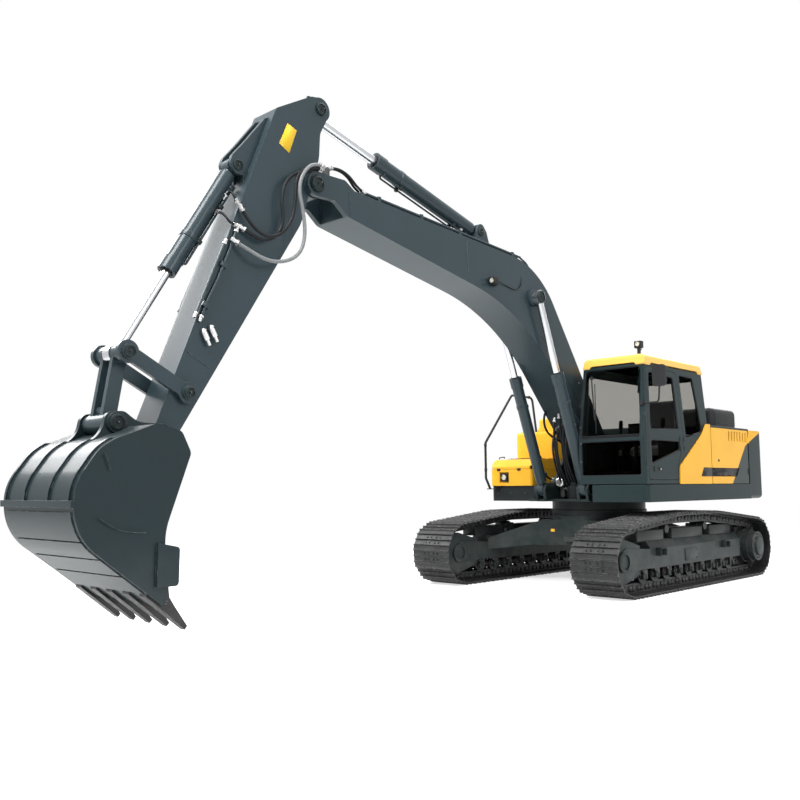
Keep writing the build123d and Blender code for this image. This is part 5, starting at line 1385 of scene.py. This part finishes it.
def nose_hoses():
    """Hoses over the boom's nose that reach the arm and its cylinder."""
    for i, (y, out) in enumerate(((-185, -216), (-140, -192), (140, 192), (185, 216))):
        over = [(4640, y, 4240), (4740, y, 4262), (4900, out, 4360), (5080, out, 4390), (5175, out, 4350)]
        hose("nose_hose_%d" % i, over, 13, "boom")
    block("nose_block_left", (90, 44, 76), (5205, 207, 4316), "casting", "boom", 8)
    block("nose_block_right", (90, 44, 76), (5205, -207, 4316), "casting", "boom", 8)
    for name, (radius, finish, points) in ARM_LOOPS.items():
        hose(name, points, radius, across("boom", "arm", points), finish)
    for i, y in enumerate((-60, 60)):
        feed = [(3120, y * 1.6, 4150), (3090, y * 1.5, 4195), (3000, y, 4226),
                on_line("arm_base", "arm_rod", 270, -90, y * 0.6)]
        hose("arm_cylinder_hose_%d" % i, feed, 13, across("boom", "arm_barrel", feed))


def arm_detail():
    """Pipes, hoses, couplings, the blank yellow patch and the weld seams of the arm."""
    left = [(6210, 186, 3560), (6296, 186, 3330), (6411, 186, 3055), (6515, 186, 2849), (6590, 186, 2660)]
    hose("arm_pipe_left", left, 13, "arm", "slate", bend=60)
    second = [(6330, 186, 3420), (6430, 186, 3190), (6560, 186, 2880), (6640, 186, 2690)]
    hose("arm_pipe_second", second, 11, "arm", "slate", bend=60)
    right = [(6200, -186, 3500), (6336, -186, 3321), (6536, -186, 2847), (6590, -186, 2660)]
    hose("arm_pipe_right", right, 13, "arm", "slate", bend=60)
    clamps = [box_at((46, 30, 70), (x, s * 186, z), 5, 64)
              for s in (-1, 1) for x, z in ((6355, 3190), (6528, 2810))]
    settle(joined(clamps), "arm_pipe_clamps", "slate", "arm")
    taps = []
    for x, z in ((6470, 2610), (6545, 2570)):
        tap = new_drum(0.026, 0.07, 20, 0.005, 0.008, 0.006)
        add_drum(tap, 0.016, 0.05, 0.068, 12)
        taps.append(bake(tap, frame_at(place(x, 190, z), (-0.4, 0.2, -1))))
        taps.append(box_at((40, 32, 40), (x + 6, 188, z + 14), 4))
    settle(joined(taps), "arm_couplings", "pale_metal", "arm")
    patch = lying([(5.531, 4.640), (5.644, 4.681), (5.743, 4.456), (5.621, 4.395)], 0.0016, 0.0004)
    bake(patch, Matrix.Translation((SLEW_X, 0.1722, 0)) @ UPRIGHT)
    settle(patch, "blank_patch", "decal", "arm")
    low = [(6205, 185, 3760), (6240, 160, 3850), (6240, 100, 3900),
           on_line("bucket_base", "link", 330, -80, 24)]
    hose("bucket_cylinder_hose_low", low, 12, across("arm", "bucket_barrel", low))
    high = [(6210, 190, 3570), (6300, 200, 3560), (6330, 150, 3660),
            on_line("bucket_base", "link", 480, -80, 34)]
    hose("bucket_cylinder_hose_high", high, 12, across("arm", "bucket_barrel", high))
    runs = [[(6480, s * (ARM_SIDE + 1), 2280), (6700, s * (ARM_SIDE + 1), 2400)] for s in (-1, 1)]
    seams("arm_seams", runs, "slate", "arm", 4)
    bosses = [disc_at(20, 16, (5345, s * 120, 5040), (0.2, 0, 1), 7, 6, 20) for s in (-1, 1)]
    settle(joined(bosses), "arm_head_bosses", "slate", "arm")


# weld beads on the bucket: distance from its middle, and X and Z along the bead, mm
BUCKET_BEADS = (
    (582, ((7199, 545), (7015, 545), (7010, 830), (7195, 870))),
    (601, ((7664, 1066), (7556, 989), (7430, 955), (7296, 950))),
    (601, ((7630, 1520), (7600, 1470), (7583, 1400))),
    (178, ((7250, 1640), (7010, 1590))),
    (222, ((7250, 1640), (7560, 1565))),
)


def bucket_detail():
    """Tooth pins, and the weld beads on the bucket's sides and ears."""
    pins = []
    for y in (-500, -250, 0, 250, 500):
        for sign in (-1, 1):
            pins.append(frame_at(place(7085, y + sign * 47, 425), (0, sign, 0)))
    settle(copied(new_drum(0.014, 0.007, 14, 0.003, 0.004, 0.002), pins), "tooth_pins", "tooth", "bucket")
    beads = [[(x, s * y, z) for x, z in bead] for s in (-1, 1) for y, bead in BUCKET_BEADS]
    seams("bucket_seams", beads, "bucket", "bucket", 5)


def add_gear_detail():
    for row in PIN_CAPS:
        pin_cap(*row)
    cylinder_lines()
    boom_detail()
    nose_hoses()
    arm_detail()
    bucket_detail()


add_camera()
add_stage()
finish_nodes()
add_undercarriage_detail()
add_house_detail()
add_gear_detail()
